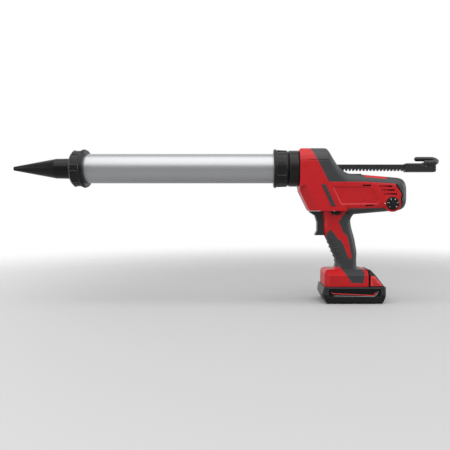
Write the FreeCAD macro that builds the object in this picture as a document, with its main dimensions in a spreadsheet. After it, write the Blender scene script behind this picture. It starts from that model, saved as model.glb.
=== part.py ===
"""Cordless caulking tool as separate pieces in one frame.

Millimetres. The origin is the middle of the battery's bottom face, Z is up, the nozzle points to -X
and the speed dial faces -Y. Every length below is a cell of the sheet, and the pieces follow it.
"""
import FreeCAD, Part
import math
import os

import Sketcher
from FreeCAD import Matrix, Placement, Rotation, Vector

SIZES = {
    # Fits shared by all pieces
    "overrun": 1.0,
    "seat_gap": 0.2,
    "slide_gap": 0.3,
    "bearing_gap": 0.05,
    "tooth_play": 0.1,
    # Axes of the tool
    "barrel_axis_height": 238.0,
    "rack_pitch_drop": 2.3,
    "shaft_setback": 33.0,
    # Housing head
    "head_front": 95.0,
    "head_top": 274.2,
    "head_bottom": 161.6,
    "head_half_width": 33.0,
    "head_crown_radius": 27.0,
    "head_front_chamfer": 3.5,
    "chin_side_width": 13.0,
    "chin_face_width": 12.5,
    "chin_facet_rise": 5.0,
    "neck_bottom": 170.0,
    "shell_wall": 3.0,
    "skin_depth": 1.3,
    # Motor barrel of the housing
    "barrel_rear": 95.0,
    "barrel_half_width": 33.0,
    "barrel_front_top": 233.0,
    "barrel_front_bottom": 162.6,
    "barrel_rear_top": 221.0,
    "barrel_rear_bottom": 162.0,
    "barrel_belly_front": 24.0,
    "barrel_belly_place": 8.0,
    "barrel_belly_bottom": 154.8,
    "barrel_corner_radius": 18.0,
    "barrel_dome_length": 21.0,
    "saddle_half_width": 20.0,
    "saddle_rear": 16.0,
    "saddle_height": 2.4,
    "saddle_top": 227.4,
    "top_strip_half_width": 27.5,
    "top_strip_rear": 57.0,
    # Handle and foot
    "handle_top": 180.0,
    "handle_bottom": 52.0,
    "handle_depth": 40.0,
    "handle_half_width": 18.5,
    "handle_corner_radius": 13.0,
    "grip_rib_height": 1.3,
    "grip_rib_width": 2.2,
    "grip_rib_pitch": 8.0,
    "grip_rib_start": 71.0,
    "foot_front": 52.0,
    "foot_rear": 23.5,
    "foot_half_width": 35.5,
    "foot_height": 29.0,
    "foot_shoulder_width": 13.0,
    "foot_shoulder_height": 9.0,
    "foot_corner_chamfer": 8.0,
    "foot_round": 7.0,
    "foot_rear_round": 2.0,
    # Details in the housing's sides
    "panel_depth": 1.6,
    "panel_slope": 2.6,
    "vent_length": 23.5,
    "vent_height": 2.8,
    "vent_pitch": 6.8,
    "vent_step": 4.0,
    "vent_start": 42.5,
    "vent_top_height": 204.5,
    "slit_length": 15.0,
    "slit_height": 2.4,
    "slit_depth": 2.3,
    "seam_width": 0.8,
    "seam_depth": 0.6,
    "bumper_width": 6.8,
    "bumper_depth": 1.6,
    "bumper_stand": 0.8,
    "rib_thickness": 3.0,
    "boss_radius": 4.0,
    "screw_radius": 1.6,
    "screw_head_radius": 3.1,
    "screw_head_height": 2.4,
    "screw_length": 18.0,
    "screw_head_place": 9.0,
    # Carriage: swivel ring, collar, tube
    "nose_diameter": 40.0,
    "nose_bore": 26.0,
    "nose_length": 27.0,
    "nose_flange_diameter": 58.0,
    "nose_flange_thickness": 3.5,
    "clip_diameter": 47.0,
    "clip_thickness": 1.4,
    "clip_groove_depth": 2.0,
    "swivel_diameter": 65.0,
    "swivel_length": 18.6,
    "swivel_chamfer": 1.5,
    "swivel_gap": 0.4,
    "spigot_diameter": 57.0,
    "spigot_wall": 3.5,
    "spigot_length": 14.0,
    "collar_gap": 1.2,
    "collar_length": 25.4,
    "collar_diameter": 67.0,
    "collar_rear_diameter": 65.6,
    "collar_flange_diameter": 70.0,
    "collar_flange_length": 4.5,
    "collar_chamfer": 1.6,
    "tube_diameter": 53.0,
    "tube_wall": 1.5,
    "tube_length": 362.6,
    # Front cap and nozzle
    "cap_length": 24.5,
    "cap_wall": 7.7,
    "cap_diameter": 66.0,
    "cap_flange_diameter": 69.4,
    "cap_flange_length": 7.2,
    "cap_chamfer": 3.4,
    "grip_pocket_depth": 1.2,
    "nozzle_flange_thickness": 2.8,
    "nozzle_base_diameter": 37.0,
    "nozzle_neck_diameter": 35.8,
    "nozzle_neck_length": 31.0,
    "nozzle_cone_length": 76.9,
    "nozzle_tip_diameter": 7.2,
    "nozzle_outlet": 4.6,
    "nozzle_wall": 2.2,
    # Rod, piston and grip
    "rack_module": 2.0,
    "rack_thickness": 8.0,
    "rack_rise": 7.3,
    "rack_bare_end": 20.0,
    "piston_reach": 392.0,
    "piston_length": 18.0,
    "piston_gap": 1.0,
    "piston_chamfer": 4.0,
    "seal_width": 5.0,
    "seal_depth": 3.0,
    "seal_gap": 0.3,
    "piston_screw_radius": 2.5,
    "piston_screw_head_radius": 6.0,
    "piston_screw_head": 4.0,
    "piston_screw_length": 22.0,
    "rod_grip_front": 96.0,
    "rod_grip_length": 55.8,
    "rod_grip_height": 15.6,
    "rod_grip_width": 16.0,
    "rod_grip_rise": 1.6,
    "rod_grip_round": 2.5,
    "rod_grip_socket": 24.0,
    "grip_pin_radius": 2.0,
    "grip_pin_setback": 12.0,
    "hook_radius": 4.2,
    "hook_bend_radius": 8.6,
    "hook_bend_setback": 145.6,
    "hook_far_leg": 24.6,
    "hook_near_leg": 15.6,
    "hook_rise": 14.0,
    # Gear case and shafts
    "case_half_width": 25.0,
    "case_wall": 3.0,
    "case_length": 53.0,
    "case_top": 258.0,
    "case_bottom": 170.0,
    "pinion_width": 9.0,
    "pinion_shaft_radius": 4.0,
    "cross_shaft_radius": 3.5,
    "shaft_end_gap": 0.5,
    "bush_wall": 2.0,
    "clutch_washer": 0.8,
    "clutch_gap": 0.6,
    "clutch_thickness": 2.4,
    "clutch_diameter": 24.0,
    "spur_module": 1.5,
    "spur_width": 6.0,
    "spur_pinion_width": 7.0,
    "bevel_module": 1.5,
    "bevel_face": 6.0,
    "bevel_backing": 3.2,
    "output_radius": 5.0,
    "guide_wall": 2.5,
    # Planet stage
    "planet_module": 1.0,
    "planet_width": 8.0,
    "planet_gap": 0.5,
    "planet_pin_radius": 1.5,
    "carrier_thickness": 4.0,
    "carrier_radius": 16.5,
    "ring_wall": 3.6,
    # Motor
    "motor_radius": 23.5,
    "motor_wall": 2.0,
    "motor_length": 60.0,
    "motor_shaft_radius": 2.5,
    "magnet_thickness": 5.0,
    "magnet_length": 44.0,
    "armature_gap": 0.6,
    "armature_length": 40.0,
    "armature_slot_width": 3.0,
    "armature_slot_depth": 6.0,
    "bearing_radius": 6.5,
    "bearing_width": 5.0,
    "commutator_radius": 7.0,
    "commutator_length": 9.0,
    "commutator_gap": 2.0,
    "brush_gap": 0.3,
    "brush_width": 4.0,
    "brush_holder_length": 16.0,
    "brush_holder_wall": 3.0,
    "fan_radius": 21.0,
    "fan_width": 8.0,
    "fan_hub_radius": 6.0,
    "fan_blade": 1.6,
    "fan_gap": 3.0,
    "rear_plate_thickness": 7.0,
    # Trigger, lock, switch and dial
    "trigger_rear": 47.0,
    "trigger_front": 62.2,
    "trigger_lip": 13.2,
    "trigger_foot": 3.4,
    "trigger_bottom": 118.0,
    "trigger_height": 43.2,
    "trigger_half_width": 9.0,
    "trigger_travel": 7.0,
    "trigger_round": 2.0,
    "plunger_radius": 3.0,
    "plunger_length": 14.0,
    "plunger_height": 138.0,
    "spring_radius": 5.0,
    "spring_wire": 0.5,
    "spring_turns_length": 8.6,
    "switch_length": 26.0,
    "switch_bottom": 117.0,
    "switch_height": 36.0,
    "switch_gap": 1.2,
    "lock_place": 30.4,
    "lock_height": 158.0,
    "lock_length": 18.4,
    "lock_depth": 6.2,
    "lock_stand": 2.6,
    "dial_place": 66.0,
    "dial_height": 174.5,
    "dial_radius": 11.2,
    "dial_depth": 5.6,
    "dial_boss_radius": 14.6,
    "dial_boss_face": 33.6,
    "dial_boss_depth": 6.0,
    "dial_stand": 2.2,
    "dial_rib_radius": 0.8,
    "dial_stem_radius": 3.0,
    "dial_stem_length": 5.0,
    "board_length": 20.0,
    "board_height": 8.0,
    "board_thickness": 1.6,
    # Battery
    "pack_front": 57.0,
    "pack_rear": 54.5,
    "pack_half_width": 38.0,
    "pack_split": 16.0,
    "pack_top": 29.0,
    "pack_wall": 2.5,
    "pack_front_chamfer": 15.0,
    "pack_corner_radius": 7.0,
    "pack_side_chamfer": 4.0,
    "pack_shoulder": 3.0,
    "notch_length": 4.0,
    "notch_height": 1.2,
    "notch_reach": 8.0,
    "wedge_front": 26.0,
    "wedge_top": 57.6,
    "wedge_crest": 3.5,
    "wedge_half_width": 34.5,
    "wedge_shoulder_width": 12.0,
    "wedge_shoulder_height": 8.0,
    "rail_half_width": 22.0,
    "rail_lip": 2.5,
    "rail_step": 4.0,
    "rail_height": 11.0,
    "rail_front": 40.0,
    "rail_side_gap": 0.3,
    "cell_radius": 9.15,
    "cell_length": 65.2,
    "cell_pitch": 19.0,
    "pack_board_length": 84.0,
    "pack_board_width": 60.0,
    "pack_board_thickness": 1.6,
    "blade_thickness": 1.0,
    "blade_length": 12.0,
    "blade_height": 8.0,
    "blade_pitch": 8.0,
    "blade_place": 26.0,
    "blade_slot": 2.0,
    "terminal_length": 30.0,
    "terminal_half_width": 18.0,
    "terminal_height": 8.0,
    "latch_length": 21.0,
    "latch_height": 17.6,
    "latch_front": 27.4,
    "latch_bottom": 30.4,
    "latch_stand": 1.4,
    "latch_chamfer": 0.9,
    "latch_depth": 7.0,
    "latch_travel": 2.5,
    "latch_spring_radius": 3.0,
    "latch_spring_wire": 0.4,
    "latch_spring_length": 5.2,
}

PINION_TEETH = 12
SPUR_TEETH = 12
DRIVE_TEETH = 28
BEVEL_PINION_TEETH = 12
BEVEL_GEAR_TEETH = 24
SUN_TEETH = 12
PLANET_TEETH = 12
RING_TEETH = 36
PLANET_ANGLES = (90, 210, 330)
GRIP_POCKETS = 6
POCKET_ANGLE = 41
COLLAR_POCKET_TURN = 14.5
CAP_POCKET_TURN = 40.5
GRIP_RIBS = 5
VENTS = 3
DIAL_RIBS = 16
CELLS = 5
BLADES = 4
ARMATURE_SLOTS = 8
FAN_BLADES = 11
SPRING_TURNS = 5
PRESSURE_ANGLE = math.radians(25)
FLANK_STEPS = 3
HOOK_TILT = 28

# The tool's side seen from -Y: along the body from its front face, and up to the head's top
HEAD_REAR_SHARES = [(0.2342, 1), (0.2526, 0.9883), (0.2526, 0.7294), (0.4263, 0.7294)]
HEAD_CHIN_SHARES = [(0, 0.7206), (0.0832, 0.6025), (0.1, 0.5894), (0.4263, 0.5894)]
NECK_SHARES = [
    (0.1842, 0.9865), (0.2211, 0.9967), (0.2421, 0.9989), (0.2605, 0.9927), (0.2816, 0.9737),
    (0.3026, 0.9482), (0.3211, 0.9256), (0.3395, 0.9044), (0.3579, 0.8862), (0.3874, 0.8636),
    (0.4205, 0.8454), (0.4532, 0.8341), (0.4895, 0.8275), (0.5263, 0.8206), (0.5579, 0.8118),
]
OVERMOLD_SHARES = [
    (0.1019, 1.1), (0.1019, 0.995), (0.2619, 0.775), (0.6012, 0.775), (0.8692, 0.763), (0.9313, 0.697),
    (0.9191, 0.664), (0.9242, 0.635), (0.8946, 0.606), (0.8478, 0.602), (0.7897, 0.605), (0.7713, 0.608),
    (0.4524, 0.605), (0.3648, 0.52), (0.4086, 0.448), (0.4463, 0.427), (0.4616, 0.382), (0.486, 0.291),
    (0.4677, 0.276), (0.4504, 0.298), (0.4004, 0.387), (0.3546, 0.413), (0.2955, 0.469), (0.2649, 0.453),
    (0.2496, 0.418), (0.1834, 0.418), (0.1834, 0.226), (0.379, 0.226), (0.4697, 0.132), (0.5747, 0.129),
    (0.592, 0.189), (0.5828, 0.226), (0.6725, 0.226), (0.6725, 0.5), (1.1208, 0.5), (1.1208, 1.1),
]
PANEL_SHARES = [(0.2924, 0.747), (0.6481, 0.746), (0.7255, 0.662), (0.7184, 0.629), (0.3709, 0.629)]
BUMPER_SHARES = [(0.213, 0.758), (0.3057, 0.62)]
SLIT_SHARES = [(0.5706, 0.7515), (0.5961, 0.624)]
BOSS_SHARES = [
    (0.0897, 0.9685), (0.25, 0.957), (0.937, 0.76), (0.926, 0.627), (0.4789, 0.576), (0.4922, 0.365),
    (0.2792, 0.175), (0.5839, 0.175),
]
SEAM_SHARES = [(0.07, 0.9161), (0.279, 0.9161)]
RIB_SHARES = [0.0764, 0.2496, 0.4585, 0.6318]
BEVEL_SHARE = 0.3
NOTCH_SHARES = [-0.8, -0.08, 0.64]
LOCK_SLOPE_SHARE = 1.4
TRIGGER_FOOT_SHARE = 2.4
TRIGGER_LIP_SHARES = [(0, 1.5), (0.28, 0.6)]
SIDE_EDGE_SHARE = 0.9
PACK_FRONT_SHARE = 0.55
PACK_REAR_SHARE = 0.5
LATCH_TOP_SHARE = 0.32
CORNER_WIDTH_SHARE = 0.98
CORNER_HEIGHT_SHARE = 0.49

# Barrel sections: along its length, then the top, bottom and width kept of the full section
DOME_SHARES = [(0.0, 1.0), (0.476, 0.94), (0.762, 0.82), (0.93, 0.62), (1.0, 0.4)]

# Handle sections from the foot up: height, front and back as shares of the depth, half width
HANDLE_SHARES = [
    (0.0, -0.84, 0.27, 1.06), (0.1, -0.735, 0.205, 1.0), (0.2, -0.755, 0.203, 1.0),
    (0.32, -0.93, 0.195, 1.0), (0.42, -1.06, 0.14, 1.0), (0.5, -1.19, 0.085, 1.0),
    (0.58, -1.27, 0.01, 1.0), (0.66, -1.285, -0.05, 1.02), (0.74, -1.29, -0.06, 1.04),
    (0.8, -1.31, 0.05, 1.08), (0.88, -1.36, 0.17, 1.12), (1.0, -1.45, 0.22, 1.14),
]


class Size:
    """A length as an expression on the sheet, with its present value."""

    def __init__(self, text, value):
        self.text = text
        self.value = float(value)

    def __float__(self):
        return self.value

    def __neg__(self):
        return Size(f"(0 - {self.text})", -self.value)

    def __add__(self, other):
        return Size(f"({self.text} + {text_of(other)})", self.value + float(other))

    def __radd__(self, other):
        return Size(f"({text_of(other)} + {self.text})", float(other) + self.value)

    def __sub__(self, other):
        return Size(f"({self.text} - {text_of(other)})", self.value - float(other))

    def __rsub__(self, other):
        return Size(f"({text_of(other)} - {self.text})", float(other) - self.value)

    def __mul__(self, other):
        return Size(f"({self.text} * {text_of(other)})", self.value * float(other))

    def __rmul__(self, other):
        return Size(f"({text_of(other)} * {self.text})", float(other) * self.value)

    def __truediv__(self, other):
        return Size(f"({self.text} / {text_of(other)})", self.value / float(other))


def text_of(value):
    return value.text if isinstance(value, Size) else repr(value)


doc = FreeCAD.newDocument("caulking_tool")
sheet = doc.addObject("Spreadsheet::Sheet", "Sizes")
for row, (alias, number) in enumerate(SIZES.items(), start=1):
    sheet.set(f"A{row}", alias)
    sheet.set(f"B{row}", str(number))
    sheet.setAlias(f"B{row}", alias)
doc.recompute()


class Sheet:
    """The sheet's cells by name: d.tube_wall is the Size of that cell."""

    def __getattr__(self, alias):
        return Size(f"Sizes.{alias}", sheet.get(alias))


d = Sheet()
X_AXIS = Vector(1, 0, 0)
Y_AXIS = Vector(0, 1, 0)
Z_AXIS = Vector(0, 0, 1)


def vec(x, y, z):
    return Vector(float(x), float(y), float(z))


def bind(thing, **sizes):
    """Sets each property to a size, as an expression where the size comes from the sheet."""
    for name, value in sizes.items():
        path = name.replace("__", ".")
        if isinstance(value, Size):
            thing.setExpression(path, value.text)
    return thing


def place(thing, x=0.0, y=0.0, z=0.0, rotation=None):
    """Puts a document object at a point given in sizes."""
    thing.Placement = Placement(vec(x, y, z), rotation or Rotation())
    return bind(thing, Placement__Base__x=x, Placement__Base__y=y, Placement__Base__z=z)


def pin(sketch, kind, index, length):
    """Holds one start point of a sketch line at a distance from the sketch's origin."""
    if float(length) == 0:
        axis = -2 if kind == "DistanceX" else -1
        sketch.addConstraint(Sketcher.Constraint("PointOnObject", index, 1, axis))
        return
    number = sketch.addConstraint(Sketcher.Constraint(kind, index, 1, float(length)))
    bind(sketch, **{f"Constraints[{number}]": length})


def outline(body, plane, points):
    """A closed sketch through points, each held by its own two sizes."""
    sketch = body.newObject("Sketcher::SketchObject", body.Name + "_outline")
    planes = {feature.Role: feature for feature in body.Origin.OriginFeatures}
    sketch.AttachmentSupport = [(planes[plane], "")]
    sketch.MapMode = "FlatFace"
    corners = [vec(u, v, 0) for u, v in points]
    count = len(corners)
    for i in range(count):
        sketch.addGeometry(Part.LineSegment(corners[i], corners[(i + 1) % count]))
    for i in range(count):
        sketch.addConstraint(Sketcher.Constraint("Coincident", i, 2, (i + 1) % count, 1))
    for i, (u, v) in enumerate(points):
        pin(sketch, "DistanceX", i, u)
        pin(sketch, "DistanceY", i, v)
    return sketch


def turned(name, profile, along="X", at=(0.0, 0.0, 0.0)):
    """A body turned from (station, radius) points about its own axis through the point at."""
    body = doc.addObject("PartDesign::Body", name)
    if along == "X":
        sketch = outline(body, "XZ_Plane", profile)
    else:
        plane = "XY_Plane" if along == "Y" else "XZ_Plane"
        sketch = outline(body, plane, [(radius, station) for station, radius in profile])
    turn = body.newObject("PartDesign::Revolution", name + "_turned")
    turn.Profile = sketch
    turn.ReferenceAxis = (sketch, ["H_Axis" if along == "X" else "V_Axis"])
    turn.Angle = 360
    return place(body, *at)


def padded(name, points, half_width, plane="XZ_Plane", at=(0.0, 0.0, 0.0)):
    """A body padded both ways from a closed outline."""
    body = doc.addObject("PartDesign::Body", name)
    pad = body.newObject("PartDesign::Pad", name + "_pad")
    pad.Profile = outline(body, plane, points)
    pad.SideType = "Symmetric"
    pad.Length = float(half_width) * 2
    bind(pad, Length=half_width * 2)
    body.Tip = pad
    return place(body, *at)


def rounded(body, radius, chosen):
    """Fillets those edges of a body's present shape that chosen picks."""
    doc.recompute()
    base = body.Tip
    edges = [f"Edge{i}" for i, edge in enumerate(base.Shape.Edges, start=1) if chosen(edge)]
    fillet = body.newObject("PartDesign::Fillet", body.Name + "_round")
    fillet.Base = (base, edges)
    fillet.Radius = float(radius)
    bind(fillet, Radius=radius)
    body.Tip = fillet
    return body


def block(name, length, width, height, x, y, z):
    """A box from its low corner."""
    box = doc.addObject("Part::Box", name)
    box.Length, box.Width, box.Height = float(length), float(width), float(height)
    bind(box, Length=length, Width=width, Height=height)
    return place(box, x, y, z)


def slab(name, x_low, x_high, half_width, z_low, z_high):
    """A box across the middle plane."""
    return block(name, x_high - x_low, half_width * 2, z_high - z_low, x_low, -half_width, z_low)


def round_bar(name, radius, length, axis, x, y, z):
    """A cylinder from the centre of its low end, along X, Y or Z."""
    bar = doc.addObject("Part::Cylinder", name)
    bar.Radius, bar.Height = float(radius), float(length)
    bind(bar, Radius=radius, Height=length)
    return place(bar, x, y, z, Rotation(Z_AXIS, axis))


def cut(name, base, *tools):
    """One piece less the others."""
    result = doc.addObject("Part::Cut", name)
    result.Base = base
    result.Tool = tools[0] if len(tools) == 1 else join(name + "_cuts", *tools)
    return result


def join(name, *pieces):
    """Several pieces as one."""
    result = doc.addObject("Part::MultiFuse", name)
    result.Shapes = list(pieces)
    result.Refine = True
    return result


def feature(name, shape):
    """A piece whose shape is worked out here."""
    result = doc.addObject("Part::Feature", name)
    result.Shape = shape
    return result


def polygon_face(points):
    return Part.Face(Part.makePolygon(points + points[:1]))


# Places that several pieces share
front = -d.head_front
body_length = d.head_front + d.barrel_rear
drive_x = front + d.shaft_setback
pinion_radius = d.rack_module * (PINION_TEETH / 2)
pinion_height = d.barrel_axis_height - d.rack_pitch_drop - pinion_radius
motor_height = pinion_height - d.spur_module * ((SPUR_TEETH + DRIVE_TEETH) / 2)
barrel_line = (0.0, 0.0, d.barrel_axis_height)
motor_line = (0.0, 0.0, motor_height)
rack_low = d.barrel_axis_height - d.rack_pitch_drop - d.rack_module
rack_high = d.barrel_axis_height + d.rack_rise
case_front = front + d.shell_wall + d.nose_flange_thickness
case_rear = case_front + d.case_length


def side_point(shares, y=0.0):
    """A point of the tool's side view from its shares."""
    along, up = shares
    return vec(front + body_length * along, y, d.head_top * up)


# Gears
def involute(angle):
    return math.tan(angle) - angle


def tooth_outline(teeth, module, radii, play, phase):
    """(radius, angle) round a gear whose teeth are thinned by play on each flank."""
    pitch = module * teeth / 2
    base = pitch * math.cos(PRESSURE_ANGLE)
    points = []
    for tooth in range(teeth):
        middle = phase + 2 * math.pi * tooth / teeth
        flank = []
        for radius in radii:
            roll = math.acos(min(1.0, base / radius))
            half = math.pi / (2 * teeth) - play / pitch + involute(PRESSURE_ANGLE) - involute(roll)
            flank.append((radius, half))
        points += [(radius, middle - half) for radius, half in flank]
        points += [(radius, middle + half) for radius, half in reversed(flank)]
    return points


def flank_radii(teeth, module, root_share, tip_share):
    """Radii of the points of a flank, from the root up to the tip."""
    pitch = module * teeth / 2
    low = pitch - root_share * module
    high = pitch + tip_share * module
    start = max(low, pitch * math.cos(PRESSURE_ANGLE))
    steps = [start + (high - start) * i / FLANK_STEPS for i in range(FLANK_STEPS + 1)]
    return steps if start == low else [low] + steps


ROOT_SHARE = 1.25
TIP_SHARE = 1.0
RING_TIP_SHARE = 0.85


def gear_face(teeth, module, axis, phase, inner=False):
    """A gear's outline as a face square to the axis X or Y, at the origin."""
    shares = (RING_TIP_SHARE, ROOT_SHARE) if inner else (ROOT_SHARE, TIP_SHARE)
    play = -float(d.tooth_play) if inner else float(d.tooth_play)
    radii = flank_radii(teeth, float(module), *shares)
    around = tooth_outline(teeth, float(module), radii, play, phase)
    if axis == "Y":
        return polygon_face([vec(r * math.sin(a), 0, r * math.cos(a)) for r, a in around])
    return polygon_face([vec(0, r * math.cos(a), r * math.sin(a)) for r, a in around])


def spur(name, teeth, module, bore, low, high, x, z, phase):
    """A straight gear across the tool, from y low to y high, with a plain bore."""
    width = float(high - low)
    solid = gear_face(teeth, module, "Y", phase).extrude(Y_AXIS * width)
    hole = Part.makeCylinder(float(bore), width, Vector(), Y_AXIS)
    gear = solid.cut(hole)
    gear.translate(vec(x, low, z))
    return feature(name, gear)


def bevel(name, teeth, mate, phase, bore):
    """A bevel gear about Z whose pitch cone has its point at the origin."""
    module = float(d.bevel_module)
    cone = math.atan2(teeth, mate)
    pitch = module * teeth / 2
    reach = pitch / math.sin(cone)
    flat_teeth = teeth / math.cos(cone)
    flat_pitch = pitch / math.cos(cone)
    radii = flank_radii(flat_teeth, module, ROOT_SHARE, TIP_SHARE)
    flank = []
    for radius in radii:
        roll = math.acos(min(1.0, flat_pitch * math.cos(PRESSURE_ANGLE) / radius))
        half = math.pi / (2 * flat_teeth) - float(d.tooth_play) / flat_pitch
        half += involute(PRESSURE_ANGLE) - involute(roll)
        rise = radius - flat_pitch
        out = pitch + rise * math.cos(cone)
        along = reach * math.cos(cone) - rise * math.sin(cone)
        flank.append((out, along, half / math.cos(cone)))
    around = []
    for tooth in range(teeth):
        middle = phase + 2 * math.pi * tooth / teeth
        around += [(out / along, middle - half) for out, along, half in flank]
        around += [(out / along, middle + half) for out, along, half in reversed(flank)]
    root_out, root_along = flank[0][:2]
    tip_out, tip_along = flank[-1][:2]
    inner_share = 1 - float(d.bevel_face) / reach
    back_along = root_along + float(d.bevel_backing) * math.sin(cone)
    back_out = root_out - float(d.bevel_backing) * math.cos(cone)
    low = tip_along * inner_share / 2
    high = back_along * 2
    ends = []
    for along in (low, high):
        ring = [vec(q * along * math.cos(a), q * along * math.sin(a), along) for q, a in around]
        ends.append(Part.makePolygon(ring + ring[:1]))
    teeth_cone = Part.makeLoft(ends, True, True)
    profile = [
        (tip_out * inner_share, tip_along * inner_share), (tip_out, tip_along), (root_out, root_along),
        (back_out, back_along), (float(bore), back_along), (float(bore), root_along * inner_share),
        (root_out * inner_share, root_along * inner_share),
    ]
    blank = polygon_face([vec(out, 0, along) for out, along in profile]).revolve(Vector(), Z_AXIS, 360)
    return feature(name, blank.common(teeth_cone)), back_along


def turn_axes(thing, across, along, at):
    """Places a piece built about Z: its X goes along across and its Z along along."""
    side = along.cross(across)
    matrix = Matrix(
        across.x, side.x, along.x, float(at[0]),
        across.y, side.y, along.y, float(at[1]),
        across.z, side.z, along.z, float(at[2]),
        0, 0, 0, 1,
    )
    thing.Placement = Placement(matrix)
    return thing


# Carriage
swivel_rear = front - d.swivel_gap
swivel_front = swivel_rear - d.swivel_length
spigot_front = swivel_front - d.spigot_length
collar_rear = swivel_front - d.collar_gap
collar_front = collar_rear - d.collar_length
tube_rear = spigot_front - d.seat_gap
tube_front = tube_rear - d.tube_length
tube_radius = d.tube_diameter / 2
nozzle_rear = tube_front - d.seat_gap
nozzle_shoulder = nozzle_rear - d.nozzle_flange_thickness
cap_front = nozzle_shoulder - d.cap_wall
cap_rear = cap_front + d.cap_length


def grip_pockets(name, radius, x_low, x_high, turn):
    """Shallow pockets round a ring, for the fingers, the first one turned by turn from the top."""
    run = float(x_high - x_low)
    core = bar_along(X_AXIS, radius - d.grip_pocket_depth, run, x_low, 0, 0)
    pockets = []
    for i in range(GRIP_POCKETS):
        sector = Part.makeCylinder(float(radius + d.overrun), run, vec(x_low, 0, 0), X_AXIS, POCKET_ANGLE)
        sector.rotate(Vector(), X_AXIS, 360 * i / GRIP_POCKETS + turn)
        pockets.append(sector.cut(core))
    tool = Part.makeCompound(pockets)
    tool.translate(vec(*barrel_line))
    return feature(name, tool)


def make_carriage():
    nose_rear = case_front
    nose_flange_front = nose_rear - d.nose_flange_thickness
    nose_front = nose_flange_front - d.nose_length
    groove_rear = swivel_front - d.seat_gap
    groove_front = groove_rear - d.clip_thickness - d.seat_gap
    nose = d.nose_diameter / 2
    groove = nose - d.clip_groove_depth
    turned("nose_flange", [
        (nose_front, d.nose_bore / 2), (nose_rear, d.nose_bore / 2),
        (nose_rear, d.nose_flange_diameter / 2), (nose_flange_front, d.nose_flange_diameter / 2),
        (nose_flange_front, nose), (groove_rear, nose), (groove_rear, groove), (groove_front, groove),
        (groove_front, nose), (nose_front, nose),
    ], at=barrel_line)
    clip_rear = groove_rear - d.seat_gap / 2
    clip_front = clip_rear - d.clip_thickness
    turned("swivel_clip", [
        (clip_front, groove), (clip_rear, groove),
        (clip_rear, d.clip_diameter / 2), (clip_front, d.clip_diameter / 2),
    ], at=barrel_line)
    ring = d.swivel_diameter / 2
    spigot = d.spigot_diameter / 2
    bore = nose + d.bearing_gap
    turned("swivel_ring", [
        (spigot_front, spigot - d.spigot_wall), (swivel_front, spigot - d.spigot_wall),
        (swivel_front, bore), (swivel_rear, bore),
        (swivel_rear, ring - d.swivel_chamfer), (swivel_rear - d.swivel_chamfer, ring),
        (swivel_front + d.swivel_chamfer, ring), (swivel_front, ring - d.swivel_chamfer),
        (swivel_front, spigot), (spigot_front, spigot),
    ], at=barrel_line)
    flange = d.collar_flange_diameter / 2
    flange_rear = collar_front + d.collar_flange_length
    collar = turned("rear_collar_blank", [
        (collar_front, tube_radius), (spigot_front, tube_radius),
        (spigot_front, spigot), (collar_rear, spigot),
        (collar_rear, d.collar_rear_diameter / 2 - d.collar_chamfer),
        (collar_rear - d.collar_chamfer, d.collar_rear_diameter / 2),
        (flange_rear, d.collar_diameter / 2), (flange_rear, flange),
        (collar_front + d.collar_chamfer, flange), (collar_front, flange - d.collar_chamfer),
    ], at=barrel_line)
    pockets = grip_pockets(
        "collar_pockets", d.collar_rear_diameter / 2,
        flange_rear + d.collar_chamfer, collar_rear - d.collar_chamfer * 2, COLLAR_POCKET_TURN,
    )
    cut("rear_collar", collar, pockets)
    turned("carrier_tube", [
        (tube_front, tube_radius - d.tube_wall), (tube_rear, tube_radius - d.tube_wall),
        (tube_rear, tube_radius), (tube_front, tube_radius),
    ], at=barrel_line)


def make_front_cap():
    cap = d.cap_diameter / 2
    flange = d.cap_flange_diameter / 2
    bore = tube_radius + d.seat_gap / 2
    mouth = d.nozzle_base_diameter / 2 + d.seat_gap
    flange_front = cap_rear - d.cap_flange_length
    blank = turned("front_cap_blank", [
        (cap_front, mouth), (nozzle_shoulder, mouth), (nozzle_shoulder, bore), (cap_rear, bore),
        (cap_rear, flange - d.cap_chamfer / 2), (cap_rear - d.cap_chamfer, flange),
        (flange_front + d.cap_chamfer / 2, flange), (flange_front, cap),
        (cap_front + d.cap_chamfer, cap), (cap_front, cap - d.cap_chamfer),
    ], at=barrel_line)
    pockets = grip_pockets(
        "cap_pockets", cap, cap_front + d.cap_chamfer, flange_front - d.cap_chamfer / 2, CAP_POCKET_TURN,
    )
    cut("front_cap", blank, pockets)
    base = d.nozzle_base_diameter / 2
    neck = d.nozzle_neck_diameter / 2
    neck_front = cap_front - d.nozzle_neck_length
    tip_front = neck_front - d.nozzle_cone_length
    disc = tube_radius - d.seat_gap
    turned("nozzle", [
        (tip_front, d.nozzle_outlet / 2), (neck_front, neck - d.nozzle_wall),
        (nozzle_rear, base - d.nozzle_wall), (nozzle_rear, disc), (nozzle_shoulder, disc),
        (nozzle_shoulder, base), (cap_front, base), (neck_front, neck),
        (tip_front, d.nozzle_tip_diameter / 2),
    ], at=barrel_line)


# Rod
piston_front = -d.piston_reach
piston_rear = piston_front + d.piston_length
rack_end = d.rod_grip_front + d.rod_grip_socket


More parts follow.
